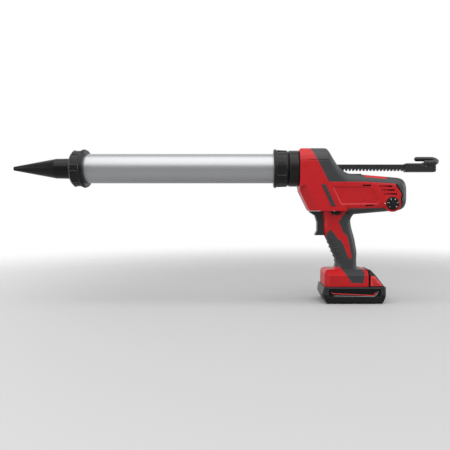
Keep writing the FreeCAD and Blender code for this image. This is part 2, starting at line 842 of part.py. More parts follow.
def make_rod():
    module = float(d.rack_module)
    pitch = math.pi * module
    play = float(d.tooth_play)
    slope = math.tan(PRESSURE_ANGLE)
    pitch_line = float(d.barrel_axis_height - d.rack_pitch_drop)
    tip = float(rack_low)
    root = pitch_line + ROOT_SHARE * module
    half_pitch = pitch / 4 - play
    half_tip = half_pitch - module * slope
    half_root = half_pitch + ROOT_SHARE * module * slope
    first = float(piston_rear + d.rack_bare_end)
    last = float(d.rod_grip_front)
    low_tooth = math.ceil((first - float(drive_x)) / pitch)
    high_tooth = math.floor((last - float(drive_x)) / pitch) - 1
    points = [vec(piston_rear, 0, rack_high), vec(piston_rear, 0, tip)]
    points += [vec(first, 0, tip), vec(first, 0, root)]
    for number in range(low_tooth, high_tooth + 1):
        middle = float(drive_x) + (number + 0.5) * pitch
        for offset, height in ((-half_root, root), (-half_tip, tip), (half_tip, tip), (half_root, root)):
            points.append(vec(middle + offset, 0, height))
    points += [vec(last, 0, root), vec(last, 0, tip), vec(rack_end, 0, tip), vec(rack_end, 0, rack_high)]
    bar = polygon_face(points).extrude(Y_AXIS * float(d.rack_thickness))
    bar.translate(vec(0, -d.rack_thickness / 2, 0))
    blank = feature("drive_rack_blank", bar)
    screw_end = piston_front + d.piston_screw_head + d.piston_screw_length
    screw_hole = round_bar(
        "rack_screw_hole", d.piston_screw_radius, screw_end - piston_rear + d.overrun, X_AXIS,
        piston_rear, 0.0, d.barrel_axis_height,
    )
    pin_x = d.rod_grip_front + d.grip_pin_setback
    pin_z = (rack_low + rack_high) / 2
    pin_hole = round_bar(
        "rack_pin_hole", d.grip_pin_radius, d.rack_thickness + d.overrun * 2, Y_AXIS,
        pin_x, -d.rack_thickness / 2 - d.overrun, pin_z,
    )
    cut("drive_rack", blank, screw_hole, pin_hole)
    make_piston()
    make_rod_grip(pin_x, pin_z)


def make_piston():
    outer = tube_radius - d.tube_wall - d.piston_gap
    groove = outer - d.seal_depth
    middle = (piston_front + piston_rear) / 2
    seal_front = middle - d.seal_width / 2
    seal_rear = middle + d.seal_width / 2
    bore = d.piston_screw_radius
    counter = d.piston_screw_head_radius + d.seat_gap
    head_rear = piston_front + d.piston_screw_head
    turned("piston_plate", [
        (piston_front, counter), (head_rear, counter), (head_rear, bore), (piston_rear, bore),
        (piston_rear, outer - d.piston_chamfer / 2), (piston_rear - d.piston_chamfer / 2, outer),
        (seal_rear, outer), (seal_rear, groove), (seal_front, groove), (seal_front, outer),
        (piston_front + d.piston_chamfer, outer), (piston_front, outer - d.piston_chamfer),
    ], at=barrel_line)
    seal = tube_radius - d.tube_wall - d.seal_gap
    turned("piston_seal", [
        (seal_front, groove), (seal_rear, groove), (seal_rear, outer), (middle, seal), (seal_front, outer),
    ], at=barrel_line)
    screw_end = head_rear + d.piston_screw_length
    turned("piston_screw", [
        (piston_front, 0.0), (screw_end, 0.0), (screw_end, bore), (head_rear, bore),
        (head_rear, d.piston_screw_head_radius), (piston_front, d.piston_screw_head_radius),
    ], at=barrel_line)


def make_rod_grip(pin_x, pin_z):
    middle = d.barrel_axis_height + d.rod_grip_rise
    low = middle - d.rod_grip_height / 2
    high = middle + d.rod_grip_height / 2
    rear = d.rod_grip_front + d.rod_grip_length
    core = padded("rod_grip_core", [
        (d.rod_grip_front, low), (rear, low), (rear, high), (d.rod_grip_front, high),
    ], d.rod_grip_width / 2)
    rounded(core, d.rod_grip_round, lambda edge: True)
    socket = slab(
        "grip_socket", d.rod_grip_front - d.overrun, rack_end, d.rack_thickness / 2, rack_low, rack_high,
    )
    pin_hole = round_bar(
        "grip_pin_hole", d.grip_pin_radius, d.rod_grip_width + d.overrun * 2, Y_AXIS,
        pin_x, -d.rod_grip_width / 2 - d.overrun, pin_z,
    )
    round_bar("grip_pin", d.grip_pin_radius, d.rod_grip_width, Y_AXIS, pin_x, -d.rod_grip_width / 2, pin_z)
    bend_z = d.barrel_axis_height + d.hook_rise
    tilt = Rotation(X_AXIS, HOOK_TILT)
    rise_share = math.sin(math.radians(HOOK_TILT))
    run_share = math.cos(math.radians(HOOK_TILT))
    legs = []
    for name, side, length in (("far", 1, d.hook_far_leg), ("near", -1, d.hook_near_leg)):
        y = d.hook_bend_radius * (side * run_share)
        z = bend_z + d.hook_bend_radius * (side * rise_share)
        x = d.hook_bend_setback - length
        legs.append(round_bar(f"hook_{name}_leg", d.hook_radius, length, X_AXIS, x, y, z))
    ball = doc.addObject("Part::Sphere", "hook_far_end")
    ball.Radius = float(d.hook_radius)
    bind(ball, Radius=d.hook_radius)
    place(
        ball, d.hook_bend_setback - d.hook_far_leg, d.hook_bend_radius * run_share,
        bend_z + d.hook_bend_radius * rise_share,
    )
    bend = doc.addObject("Part::Torus", "hook_bend")
    bend.Radius1, bend.Radius2 = float(d.hook_bend_radius), float(d.hook_radius)
    bind(bend, Radius1=d.hook_bend_radius, Radius2=d.hook_radius)
    bend.Angle3 = 180
    place(bend, d.hook_bend_setback, 0.0, bend_z, tilt.multiply(Rotation(Z_AXIS, -90)))
    root = round_bar(
        "hook_root", d.hook_radius, d.hook_bend_radius, Z_AXIS,
        d.hook_bend_setback - d.hook_near_leg, -d.hook_bend_radius * run_share + d.hook_radius / 2,
        middle,
    )
    solid = join("rod_grip_solid", core, *legs, ball, bend, root)
    cut("rod_grip", solid, socket, pin_hole)


# Housing volumes, each drawn in by inset to make the skin and the hollow
def ring_wire(half_wide, low, high, radius, to_space):
    """A rounded rectangle, mapped to space by to_space(across, up)."""
    radius = min(radius, half_wide * CORNER_WIDTH_SHARE, (high - low) * CORNER_HEIGHT_SHARE)
    bow = radius * (1 - math.sqrt(0.5))
    corners = [
        ((half_wide - radius, low), (half_wide - bow, low + bow), (half_wide, low + radius)),
        ((half_wide, high - radius), (half_wide - bow, high - bow), (half_wide - radius, high)),
        ((radius - half_wide, high), (bow - half_wide, high - bow), (-half_wide, high - radius)),
        ((-half_wide, low + radius), (bow - half_wide, low + bow), (radius - half_wide, low)),
    ]
    edges = []
    for i, corner in enumerate(corners):
        start, middle, end = (to_space(*point) for point in corner)
        edges.append(Part.Arc(start, middle, end).toShape())
        edges.append(Part.LineSegment(end, to_space(*corners[(i + 1) % 4][0])).toShape())
    return Part.Wire(edges)


def head_volume(inset):
    """The head: its end view run along X, kept inside its side view, with its chin's corners cut."""
    half = float(d.head_half_width) - inset
    low = float(d.head_bottom) + inset
    high = float(d.head_top) - inset
    radius = float(d.head_crown_radius) - inset
    x_low = float(front) + inset
    run = float(body_length)
    end = ring_wire(half, low - 2 * radius, high, radius, lambda u, v: vec(x_low, u, v))
    bar = Part.Face(end).extrude(X_AXIS * run)
    nose_cut = d.head_front_chamfer
    points = [vec(front, 0, d.head_top - nose_cut), vec(front + nose_cut, 0, d.head_top)]
    points += [side_point(shares) for shares in HEAD_REAR_SHARES]
    points += [side_point(shares) for shares in reversed(HEAD_CHIN_SHARES)]
    wire = Part.makePolygon(points + points[:1])
    if inset:
        wire = wire.makeOffset2D(-inset, 2)
    side = Part.Face(wire)
    side.translate(vec(0, -d.head_half_width * 2, 0))
    solid = bar.common(side.extrude(Y_AXIS * float(d.head_half_width) * 4))
    return solid.cut(chin_facet(1, inset).fuse(chin_facet(-1, inset)))


def chin_facet(side, inset):
    """What a flat cut takes off the corner between the chin's slope and one side of the head."""
    start = side_point(HEAD_CHIN_SHARES[0])
    along = (side_point(HEAD_CHIN_SHARES[1]) - start).normalize()
    inward = along.cross(Y_AXIS)
    inward = inward if inward.x > 0 else -inward
    outward = Y_AXIS * side
    on_side = start + outward * float(d.head_half_width) + inward * float(d.chin_side_width)
    on_chin = start + outward * float(d.head_half_width - d.chin_face_width)
    across = (on_chin - on_side).normalize()
    normal = across.cross(along)
    normal = normal if normal.y * side > 0 else -normal
    reach = float(d.head_half_width)
    middle = (on_side + on_chin) / 2 - normal * inset - along * float(d.chin_facet_rise)
    face = polygon_face([
        middle - across * reach, middle + across * reach, middle + across * reach + normal * reach,
        middle - across * reach + normal * reach,
    ])
    return face.extrude(along * float(d.head_top))


def neck_volume(inset):
    """The slope behind the head and the hollow curve that runs from it on to the barrel."""
    line = [side_point(shares) for shares in NECK_SHARES]
    last = len(line) - 1
    half = float(d.head_half_width) - inset
    low = float(d.neck_bottom) + inset
    crown = float(d.head_crown_radius) - inset
    corner = float(d.barrel_corner_radius) - inset
    wires = []
    for i, point in enumerate(line):
        run = line[min(i + 1, last)] - line[max(i - 1, 0)]
        normal = Vector(-run.z, 0, run.x).normalize()
        top = point - normal * inset
        radius = crown + (corner - crown) * i / last
        wires.append(ring_wire(half, low, top.z, radius, lambda u, v, x=top.x: vec(x, u, v)))
    return Part.makeLoft(wires, True, False)


def front_volume(inset):
    return head_volume(inset).fuse(neck_volume(inset))


def barrel_volume(inset):
    """The motor barrel: rounded sections along X, drawn in to a dome at the rear."""
    dome = float(d.barrel_rear - d.barrel_dome_length)
    radius = float(d.barrel_corner_radius) - inset
    fall = (d.barrel_rear_top - d.barrel_front_top) / (dome - float(drive_x))
    stations = []
    for x, bottom in (
        (drive_x, d.barrel_front_bottom), (-d.barrel_belly_front, d.barrel_front_bottom),
        (-d.barrel_belly_place, d.barrel_belly_bottom),
    ):
        stations.append((float(x), d.barrel_front_top + fall * float(x - drive_x), bottom, 1.0))
    body_stations = len(stations)
    for along, keep in DOME_SHARES:
        x = dome + (float(d.barrel_dome_length) - inset) * along
        stations.append((x, d.barrel_rear_top, d.barrel_rear_bottom, keep))
    wires = []
    for x, top, bottom, keep in stations:
        middle = float(top + bottom) / 2
        rise = (float(top - bottom) / 2 - inset) * keep
        half = (float(d.barrel_half_width) - inset) * keep
        wires.append(ring_wire(
            half, middle - rise, middle + rise, radius * keep, lambda u, v, x=x: vec(x, u, v),
        ))
    body = Part.makeLoft(wires[:body_stations + 1], True, True)
    dome_end = Part.makeLoft(wires[body_stations:], True, False)
    return body.fuse(dome_end)


def handle_volume(inset):
    """The handle: rounded sections up Z."""
    wires = []
    rise = float(d.handle_top - d.handle_bottom)
    for up, ahead, behind, wide in HANDLE_SHARES:
        z = float(d.handle_bottom) + rise * up
        low = float(d.handle_depth) * ahead + inset
        high = float(d.handle_depth) * behind - inset
        half = float(d.handle_half_width) * wide - inset
        radius = float(d.handle_corner_radius) - inset
        wires.append(ring_wire(half, low, high, radius, lambda u, v, z=z: vec(v, u, z)))
    return Part.makeLoft(wires, True, False)


def foot_volume(inset):
    """The foot: a block with sloped shoulders and cut corners."""
    low = float(d.pack_top + d.slide_gap) + inset
    high = low + float(d.foot_height) - 2 * inset
    x_low = -float(d.foot_front) + inset
    x_high = float(d.foot_rear) - inset
    half = float(d.foot_half_width) - inset
    chamfer = float(d.foot_corner_chamfer)
    plan = [
        vec(x_low + chamfer, -half, low), vec(x_high, -half, low), vec(x_high, half, low),
        vec(x_low + chamfer, half, low), vec(x_low, half - chamfer, low), vec(x_low, chamfer - half, low),
    ]
    block_up = polygon_face(plan).extrude(Z_AXIS * (high - low))
    in_by = float(d.foot_shoulder_width)
    down_by = float(d.foot_shoulder_height)
    end = [
        vec(x_low, -half, low), vec(x_low, -half, high - down_by), vec(x_low, in_by - half, high),
        vec(x_low, half - in_by, high), vec(x_low, half, high - down_by), vec(x_low, half, low),
    ]
    run = polygon_face(end).extrude(X_AXIS * (x_high - x_low))
    bevel = float(d.foot_round)
    step = bevel * BEVEL_SHARE
    rear_bevel = float(d.foot_rear_round)
    side = [
        vec(x_low, -half, low), vec(x_low, -half, high - bevel), vec(x_low + step, -half, high - step),
        vec(x_low + bevel, -half, high), vec(x_high - rear_bevel, -half, high),
        vec(x_high, -half, high - rear_bevel), vec(x_high, -half, low),
    ]
    profile = polygon_face(side).extrude(Y_AXIS * 2 * half)
    return block_up.common(run).common(profile)


def saddle_volume(inset):
    """The raised strip behind the head's slope."""
    low = float(d.barrel_rear_bottom + d.barrel_rear_top) / 2
    high = float(d.saddle_top) - inset
    rear = float(d.saddle_rear) - inset
    half = float(d.saddle_half_width) - inset
    lift = float(d.saddle_height)
    points = [
        vec(drive_x, -half, low), vec(rear + lift, -half, low), vec(rear + lift, -half, high - lift * 2),
        vec(rear - lift, -half, high), vec(drive_x, -half, high),
    ]
    return polygon_face(points).extrude(Y_AXIS * 2 * half)


def hull(inset):
    volumes = [front_volume(inset), barrel_volume(inset), handle_volume(inset), foot_volume(inset)]
    volumes.append(saddle_volume(inset))
    return volumes[0].multiFuse(volumes[1:]).removeSplitter()


def side_prism(shares, y_low, y_high):
    """A side-view outline run across the tool from y_low to y_high."""
    face = polygon_face([side_point(pair) for pair in shares])
    face.translate(vec(0, y_low, 0))
    return face.extrude(Y_AXIS * float(y_high - y_low))


def box_between(x_low, x_high, y_low, y_high, z_low, z_high):
    return Part.makeBox(
        float(x_high - x_low), float(y_high - y_low), float(z_high - z_low), vec(x_low, y_low, z_low),
    )


def bar_along(axis, radius, length, x, y, z):
    return Part.makeCylinder(float(radius), float(length), vec(x, y, z), axis)


def grip_ribs(outer):
    """Ribs round the front of the handle, kept to its outline with a little standing proud."""
    proud = handle_volume(-float(d.grip_rib_height))
    bands = []
    for i in range(GRIP_RIBS):
        z = d.grip_rib_start + d.grip_rib_pitch * i
        bands.append(box_between(
            -d.foot_front, -d.handle_depth / 2, -d.handle_half_width, d.handle_half_width,
            z, z + d.grip_rib_width,
        ))
    return proud.common(bands[0].multiFuse(bands[1:])).cut(outer)


def screw_places():
    return [side_point(shares) for shares in BOSS_SHARES]


def housing_cuts():
    """Everything that opens the shells: nose, rod, trigger, lock, dial, vents and the battery rail."""
    wide = d.head_half_width * 2
    cuts = [bar_along(
        X_AXIS, d.nose_diameter / 2 + d.slide_gap, d.shell_wall * 3, front - d.shell_wall, 0,
        d.barrel_axis_height,
    )]
    clear = d.rack_thickness / 2 + d.slide_gap
    cuts.append(box_between(
        drive_x, d.barrel_rear, -clear, clear, rack_low - d.slide_gap, rack_high + d.slide_gap,
    ))
    grip = d.trigger_half_width + d.slide_gap
    trigger_top = d.trigger_bottom + d.trigger_height + d.slide_gap
    cuts.append(box_between(
        -d.trigger_front - d.trigger_lip - d.slide_gap, -d.trigger_rear + d.trigger_travel + d.slide_gap,
        -grip, grip, d.trigger_bottom - d.slide_gap, trigger_top,
    ))
    lock_face = polygon_face(lock_points(d.slide_gap))
    lock_face.translate(vec(0, -wide, 0))
    cuts.append(lock_face.extrude(Y_AXIS * float(wide) * 2))
    dial_floor = -d.dial_boss_face + d.dial_depth - d.dial_stand
    cuts.append(bar_along(
        Y_AXIS, d.dial_radius + d.slide_gap, wide, d.dial_place, dial_floor - wide, d.dial_height,
    ))
    cuts.append(bar_along(
        Y_AXIS, d.dial_stem_radius + d.slide_gap, wide, d.dial_place, -wide, d.dial_height,
    ))
    for i in range(VENTS):
        x = d.vent_start + d.vent_step * i
        z = d.vent_top_height - d.vent_pitch * i - d.vent_height / 2
        round_end = d.vent_height / 2
        cuts.append(box_between(
            x + round_end, x + d.vent_length - round_end, -wide, wide, z, z + d.vent_height,
        ))
        for end in (x + round_end, x + d.vent_length - round_end):
            cuts.append(bar_along(Y_AXIS, round_end, wide * 2, end, -wide, z + round_end))
    cuts.append(rail_channel(d.rail_side_gap))
    half_blade = d.blade_length / 2 + d.slide_gap
    window = d.blade_pitch * (BLADES / 2)
    roof = d.pack_top + d.rail_height
    cuts.append(box_between(
        -d.blade_place - half_blade, -d.blade_place + half_blade, -window, window,
        roof, roof + d.shell_wall,
    ))
    return cuts


def lock_points(grow):
    """The lens-shaped section of the lock-off shuttle, in the side view."""
    half_long = d.lock_length / 2 + grow
    half_tall = d.lock_depth / 2 + grow
    x = -d.lock_place
    z = d.lock_height
    slope = half_tall * LOCK_SLOPE_SHARE
    return [
        vec(x - half_long, 0, z), vec(x - half_long + slope, 0, z + half_tall),
        vec(x + half_long - slope, 0, z + half_tall), vec(x + half_long, 0, z),
        vec(x + half_long - slope, 0, z - half_tall), vec(x - half_long + slope, 0, z - half_tall),
    ]


def rail_channel(gap):
    """The battery's rail, grown by gap: a neck and a wider lip above it."""
    low = d.pack_top
    step = low + d.rail_step
    neck = d.rail_half_width + gap
    lip = d.rail_half_width + d.rail_lip + gap
    x_low = -d.rail_front - gap
    x_high = d.wedge_front + d.overrun
    lower = box_between(x_low, x_high, -neck, neck, low, step)
    upper = box_between(x_low, x_high, -lip, lip, step - gap, low + d.rail_height + gap)
    return lower.fuse(upper)


def inner_envelope():
    """The room that the gear case, planet stage and motor take inside the ribs."""
    gap = d.seat_gap
    half = d.case_half_width + gap
    case = box_between(
        case_front - d.nose_flange_thickness, case_rear + gap, -half, half,
        d.case_bottom - gap, d.case_top + gap,
    )
    motor = bar_along(X_AXIS, d.motor_radius + gap, body_length, case_rear, 0, motor_height)
    nose = bar_along(
        X_AXIS, d.nose_flange_diameter / 2 + gap, d.shaft_setback, front, 0, d.barrel_axis_height,
    )
    return case.multiFuse([motor, nose])


def make_housing():
    outer = hull(0)
    skin_base = hull(float(d.skin_depth))
    hollow = hull(float(d.shell_wall))
    wide = d.head_half_width * 2
    mask = side_prism(OVERMOLD_SHARES, -wide, wide)
    strip = d.top_strip_half_width
    mask = mask.cut(box_between(
        d.saddle_rear + d.saddle_height, d.top_strip_rear, -strip, strip,
        d.barrel_axis_height - d.head_crown_radius, d.head_top,
    ))
    boss = bar_along(
        Y_AXIS, d.dial_boss_radius, d.dial_boss_depth, d.dial_place, -d.dial_boss_face, d.dial_height,
    )
    ribs = []
    for share in RIB_SHARES:
        x = front + body_length * share
        ribs.append(box_between(
            x, x + d.rib_thickness, -wide, wide, d.case_bottom - d.case_wall, d.head_top,
        ))
    rib = ribs[0].multiFuse(ribs[1:]).common(hollow).cut(inner_envelope())
    posts = [bar_along(Y_AXIS, d.boss_radius, wide * 2, p.x, -wide, p.z) for p in screw_places()]
    post = posts[0].multiFuse(posts[1:]).common(hollow)
    channel_half = d.rail_half_width + d.rail_lip + d.shell_wall
    channel_wall = box_between(
        -d.rail_front - d.shell_wall, d.foot_rear, -channel_half, channel_half,
        d.pack_top, d.pack_top + d.rail_height + d.shell_wall,
    ).common(hollow)
    overmold = outer.cut(skin_base).common(mask)
    shell = outer.cut(hollow).cut(overmold).multiFuse([boss, rib, post, channel_wall])
    cuts = housing_cuts()
    opening = cuts[0].multiFuse(cuts[1:])
    shell = shell.cut(opening)
    overmold = overmold.cut(boss).fuse(grip_ribs(outer).common(mask)).cut(opening)
    make_halves(shell, overmold)


def make_halves(shell, overmold):
    wide = d.head_half_width * 2
    reach = body_length * 2
    screw_low = d.screw_head_place - d.screw_length
    bumpers = []
    for name, low, high, side in (("left", -wide, 0, -1), ("right", 0, wide, 1)):
        room = box_between(-reach, reach, low, high, -d.overrun, d.head_top * 2)
        half = shell.common(room)
        skin = overmold.common(room)
        face = float(d.barrel_half_width) * side
        inward = -side
        panel = panel_cut(face, inward)
        slits = []
        for shares in SLIT_SHARES:
            point = side_point(shares)
            slits.append(box_between(
                point.x, point.x + d.slit_length, -d.slit_depth, d.slit_depth, point.z - d.slit_height / 2,
                point.z + d.slit_height / 2,
            ))
        slit = slits[0].fuse(slits[1])
        slit.translate(Vector(0, face, 0))
        bumper = bumper_prism(d.bumper_width, d.bumper_depth, d.bumper_stand, face, inward)
        seam = seam_cut(face)
        half = half.cut(panel.multiFuse([slit, bumper, seam]))
        skin = skin.cut(seam)
        bumpers.append(bumper)
        holes = []
        for point in screw_places():
            holes.append(bar_along(Y_AXIS, d.screw_radius, d.screw_length, point.x, screw_low, point.z))
            holes.append(bar_along(
                Y_AXIS, d.screw_head_radius + d.seat_gap, wide, point.x, d.screw_head_place, point.z,
            ))
        hole = holes[0].multiFuse(holes[1:])
        feature(f"{name}_housing", largest(half.cut(hole)))
        feature(f"{name}_overmold", skin.cut(hole).removeSplitter())
    screws = []
    for point in screw_places():
        shank = bar_along(Y_AXIS, d.screw_radius, d.screw_length, point.x, screw_low, point.z)
        head = bar_along(
            Y_AXIS, d.screw_head_radius, d.screw_head_height, point.x, d.screw_head_place, point.z,
        )
        screws.append(shank.fuse(head).removeSplitter())
    feature("housing_screws", Part.makeCompound(screws))
    feature("side_bumpers", Part.makeCompound(bumpers))


def panel_cut(face, inward):
    """The side panel's shallow recess, with sloped walls."""
    wires = []
    for depth in (-d.panel_depth, d.panel_depth):
        spread = float(-depth * (d.panel_slope / d.panel_depth))
        outline = Part.makePolygon([side_point(shares) for shares in PANEL_SHARES + PANEL_SHARES[:1]])
        outline = outline.makeOffset2D(spread, 2)
        outline.translate(Vector(0, face + inward * float(depth), 0))
        wires.append(outline)
    return Part.makeLoft(wires, True, True)


def seam_cut(face):
    """The thin parting line along the head's side."""
    start = side_point(SEAM_SHARES[0])
    end = side_point(SEAM_SHARES[1])
    deep = d.seam_depth * 2
    return box_between(
        start.x, end.x, face - deep, face + deep, start.z - d.seam_width / 2, start.z + d.seam_width / 2,
    )


def largest(shape):
    """The largest solid of a cut, without the crumbs that thin walls can leave."""
    return max(shape.Solids, key=lambda solid: solid.Volume).removeSplitter()


def bumper_prism(width, depth, stand, face, inward):
    """A slanted rubber bar let into the housing's side and standing a little proud of it."""
    high = side_point(BUMPER_SHARES[0])
    low = side_point(BUMPER_SHARES[1])
    half = Vector(float(width) / 2, 0, 0)
    bar = polygon_face([high - half, high + half, low + half, low - half])
    start = face - inward * float(stand)
    bar.translate(Vector(0, start, 0))
    return bar.extrude(Y_AXIS * inward * float(depth + stand))


# Gear train
def make_gear_case():
    gap = d.slide_gap
    half = d.case_half_width
    outer = box_between(case_front, case_rear, -half, half, d.case_bottom, d.case_top)
    wall = d.case_wall
    inner = box_between(
        case_front + wall, case_rear - wall, wall - half, half - wall,
        d.case_bottom + wall, d.case_top - wall,
    )
    clear = d.rack_thickness / 2 + gap
    guide_half = clear + d.guide_wall
    guide_top = rack_high + gap + d.guide_wall
    rack_slot = box_between(
        case_front - d.overrun, case_rear + d.overrun, -guide_half, guide_half, rack_low - gap, guide_top,
    )
    cuts = [inner, rack_slot]
    for radius, height in ((d.pinion_shaft_radius, pinion_height), (d.cross_shaft_radius, motor_height)):
        cuts.append(bar_along(Y_AXIS, radius + d.bush_wall, half * 4, drive_x, -half * 2, height))
    cuts.append(bar_along(X_AXIS, d.output_radius + d.bush_wall, d.case_length, drive_x, 0, motor_height))
    room_inside = front_volume(float(d.shell_wall + d.seat_gap))
    box = outer.common(room_inside).cut(cuts[0].multiFuse(cuts[1:]))
    reach = d.head_top * 2
    for name, low, high in (("left", -half * 2, 0), ("right", 0, half * 2)):
        room = box_between(case_front - d.overrun, case_rear + d.overrun, low, high, -d.overrun, reach)
        feature(f"gear_case_{name}", box.common(room).removeSplitter())
    make_bushes(half, wall)
    guide_out = box_between(
        case_front, case_front + wall, -guide_half, guide_half, rack_low - gap, guide_top,
    )
    rear_out = guide_out.translated(vec(d.case_length - wall, 0, 0))
    passage = box_between(
        case_front - d.overrun, case_rear + d.overrun, -clear, clear, rack_low - gap * 2, rack_high + gap,
    )
    feature("rod_guides", Part.makeCompound([guide_out.cut(passage), rear_out.cut(passage)]))


def make_bushes(half, wall):
    """Plain bearings for the two cross shafts and the output shaft."""
    bushes = []
    for radius, height in ((d.pinion_shaft_radius, pinion_height), (d.cross_shaft_radius, motor_height)):
        for low in (-half, half - wall):
            ring = bar_along(Y_AXIS, radius + d.bush_wall, wall, drive_x, low, height)
            bore = bar_along(Y_AXIS, radius + d.bearing_gap, half * 4, drive_x, -half * 2, height)
            bushes.append(ring.cut(bore))
    ring = bar_along(X_AXIS, d.output_radius + d.bush_wall, wall, case_rear - wall, 0, motor_height)
    bore = bar_along(
        X_AXIS, d.output_radius + d.bearing_gap, wall * 4, case_rear - wall * 2, 0, motor_height,
    )
    bushes.append(ring.cut(bore))
    feature("shaft_bushes", Part.makeCompound(bushes))


def make_gears():
    shaft_end = d.case_half_width - d.shaft_end_gap
    shaft = d.pinion_shaft_radius
    pinion_half = d.pinion_width / 2
    turned("pinion_shaft", [
        (-shaft_end, 0.0), (shaft_end, 0.0), (shaft_end, shaft), (-shaft_end, shaft),
    ], along="Y", at=(drive_x, 0.0, pinion_height))
    spur(
        "rack_pinion", PINION_TEETH, d.rack_module, shaft, -pinion_half, pinion_half,
        drive_x, pinion_height, 0,
    )
    clutch_low = pinion_half + d.clutch_washer
    clutch_high = clutch_low + d.clutch_thickness
    bore = shaft + d.bearing_gap
    turned("clutch_plate", [
        (clutch_low, bore), (clutch_high, bore), (clutch_high, d.clutch_diameter / 2),
        (clutch_low, d.clutch_diameter / 2),
    ], along="Y", at=(drive_x, 0.0, pinion_height))
    drive_low = clutch_high + d.clutch_gap
    half_pitch = math.pi / DRIVE_TEETH
    spur(
        "drive_gear", DRIVE_TEETH, d.spur_module, bore, drive_low, drive_low + d.spur_width,
        drive_x, pinion_height, math.pi + half_pitch,
    )
    cross = d.cross_shaft_radius
    turned("cross_shaft", [
        (-shaft_end, 0.0), (shaft_end, 0.0), (shaft_end, cross), (-shaft_end, cross),
    ], along="Y", at=(drive_x, 0.0, motor_height))
    spur_low = drive_low - (d.spur_pinion_width - d.spur_width) / 2
    spur(
        "spur_pinion", SPUR_TEETH, d.spur_module, cross, spur_low, spur_low + d.spur_pinion_width,
        drive_x, motor_height, 0,
    )
    apex = (drive_x, 0.0, motor_height)
    gear, _ = bevel("bevel_gear", BEVEL_GEAR_TEETH, BEVEL_PINION_TEETH, math.pi / BEVEL_GEAR_TEETH, cross)
    turn_axes(gear, X_AXIS, -Y_AXIS, apex)
    teeth, back = bevel("bevel_pinion_teeth", BEVEL_PINION_TEETH, BEVEL_GEAR_TEETH, 0, 0)
    turn_axes(teeth, -Y_AXIS, X_AXIS, apex)
    stem_front = drive_x + back
    stem = round_bar(
        "bevel_pinion_stem", d.output_radius, carrier_front - stem_front, X_AXIS,
        stem_front, 0.0, motor_height,
    )
    join("bevel_pinion", teeth, stem)


# Planet stage and motor
carrier_front = case_rear + d.planet_gap
carrier_rear = carrier_front + d.carrier_thickness
planet_front = carrier_rear + d.planet_gap
planet_rear = planet_front + d.planet_width
ring_front = case_rear
motor_front = planet_rear + d.planet_gap
planet_orbit = d.planet_module * ((SUN_TEETH + PLANET_TEETH) / 2)


def gear_along(teeth, module, bore, x_low, length, phase):
    """A straight gear about the motor's line."""
    solid = gear_face(teeth, module, "X", phase).extrude(X_AXIS * float(length))
    if float(bore):
        solid = solid.cut(Part.makeCylinder(float(bore), float(length), Vector(), X_AXIS))
    solid.translate(vec(x_low, 0, motor_height))
    return solid


def make_planet_stage():
    shaft = d.motor_shaft_radius
    upright = math.pi / 2
    sun = gear_along(SUN_TEETH, d.planet_module, shaft, planet_front, d.planet_width, upright)
    feature("sun_gear", sun)
    pins = []
    for number, degrees in enumerate(PLANET_ANGLES, start=1):
        angle = math.radians(degrees)
        y = planet_orbit * math.cos(angle)
        z = planet_orbit * math.sin(angle)
        bore = d.planet_pin_radius + d.bearing_gap
        gap_phase = angle + math.pi + math.pi / PLANET_TEETH
        planet = gear_along(PLANET_TEETH, d.planet_module, bore, planet_front, d.planet_width, gap_phase)
        planet.translate(vec(0, y, z))
        feature(f"planet_gear_{number}", planet)
        pins.append(bar_along(
            X_AXIS, d.planet_pin_radius, d.planet_gap + d.planet_width, carrier_rear, y, motor_height + z,
        ))
    disc = bar_along(X_AXIS, d.carrier_radius, d.carrier_thickness, carrier_front, 0, motor_height)
    feature("planet_carrier", disc.multiFuse(pins).removeSplitter())
    ring_radius = d.planet_module * (RING_TEETH / 2 + ROOT_SHARE) + d.ring_wall
    ring = bar_along(X_AXIS, ring_radius, motor_front - ring_front, ring_front, 0, motor_height)
    half_pitch = math.pi / RING_TEETH
    room = gear_face(RING_TEETH, d.planet_module, "X", upright + half_pitch, inner=True)
    room = room.extrude(X_AXIS * float(motor_front - ring_front))
    room.translate(vec(ring_front, 0, motor_height))
    feature("ring_gear", ring.cut(room))


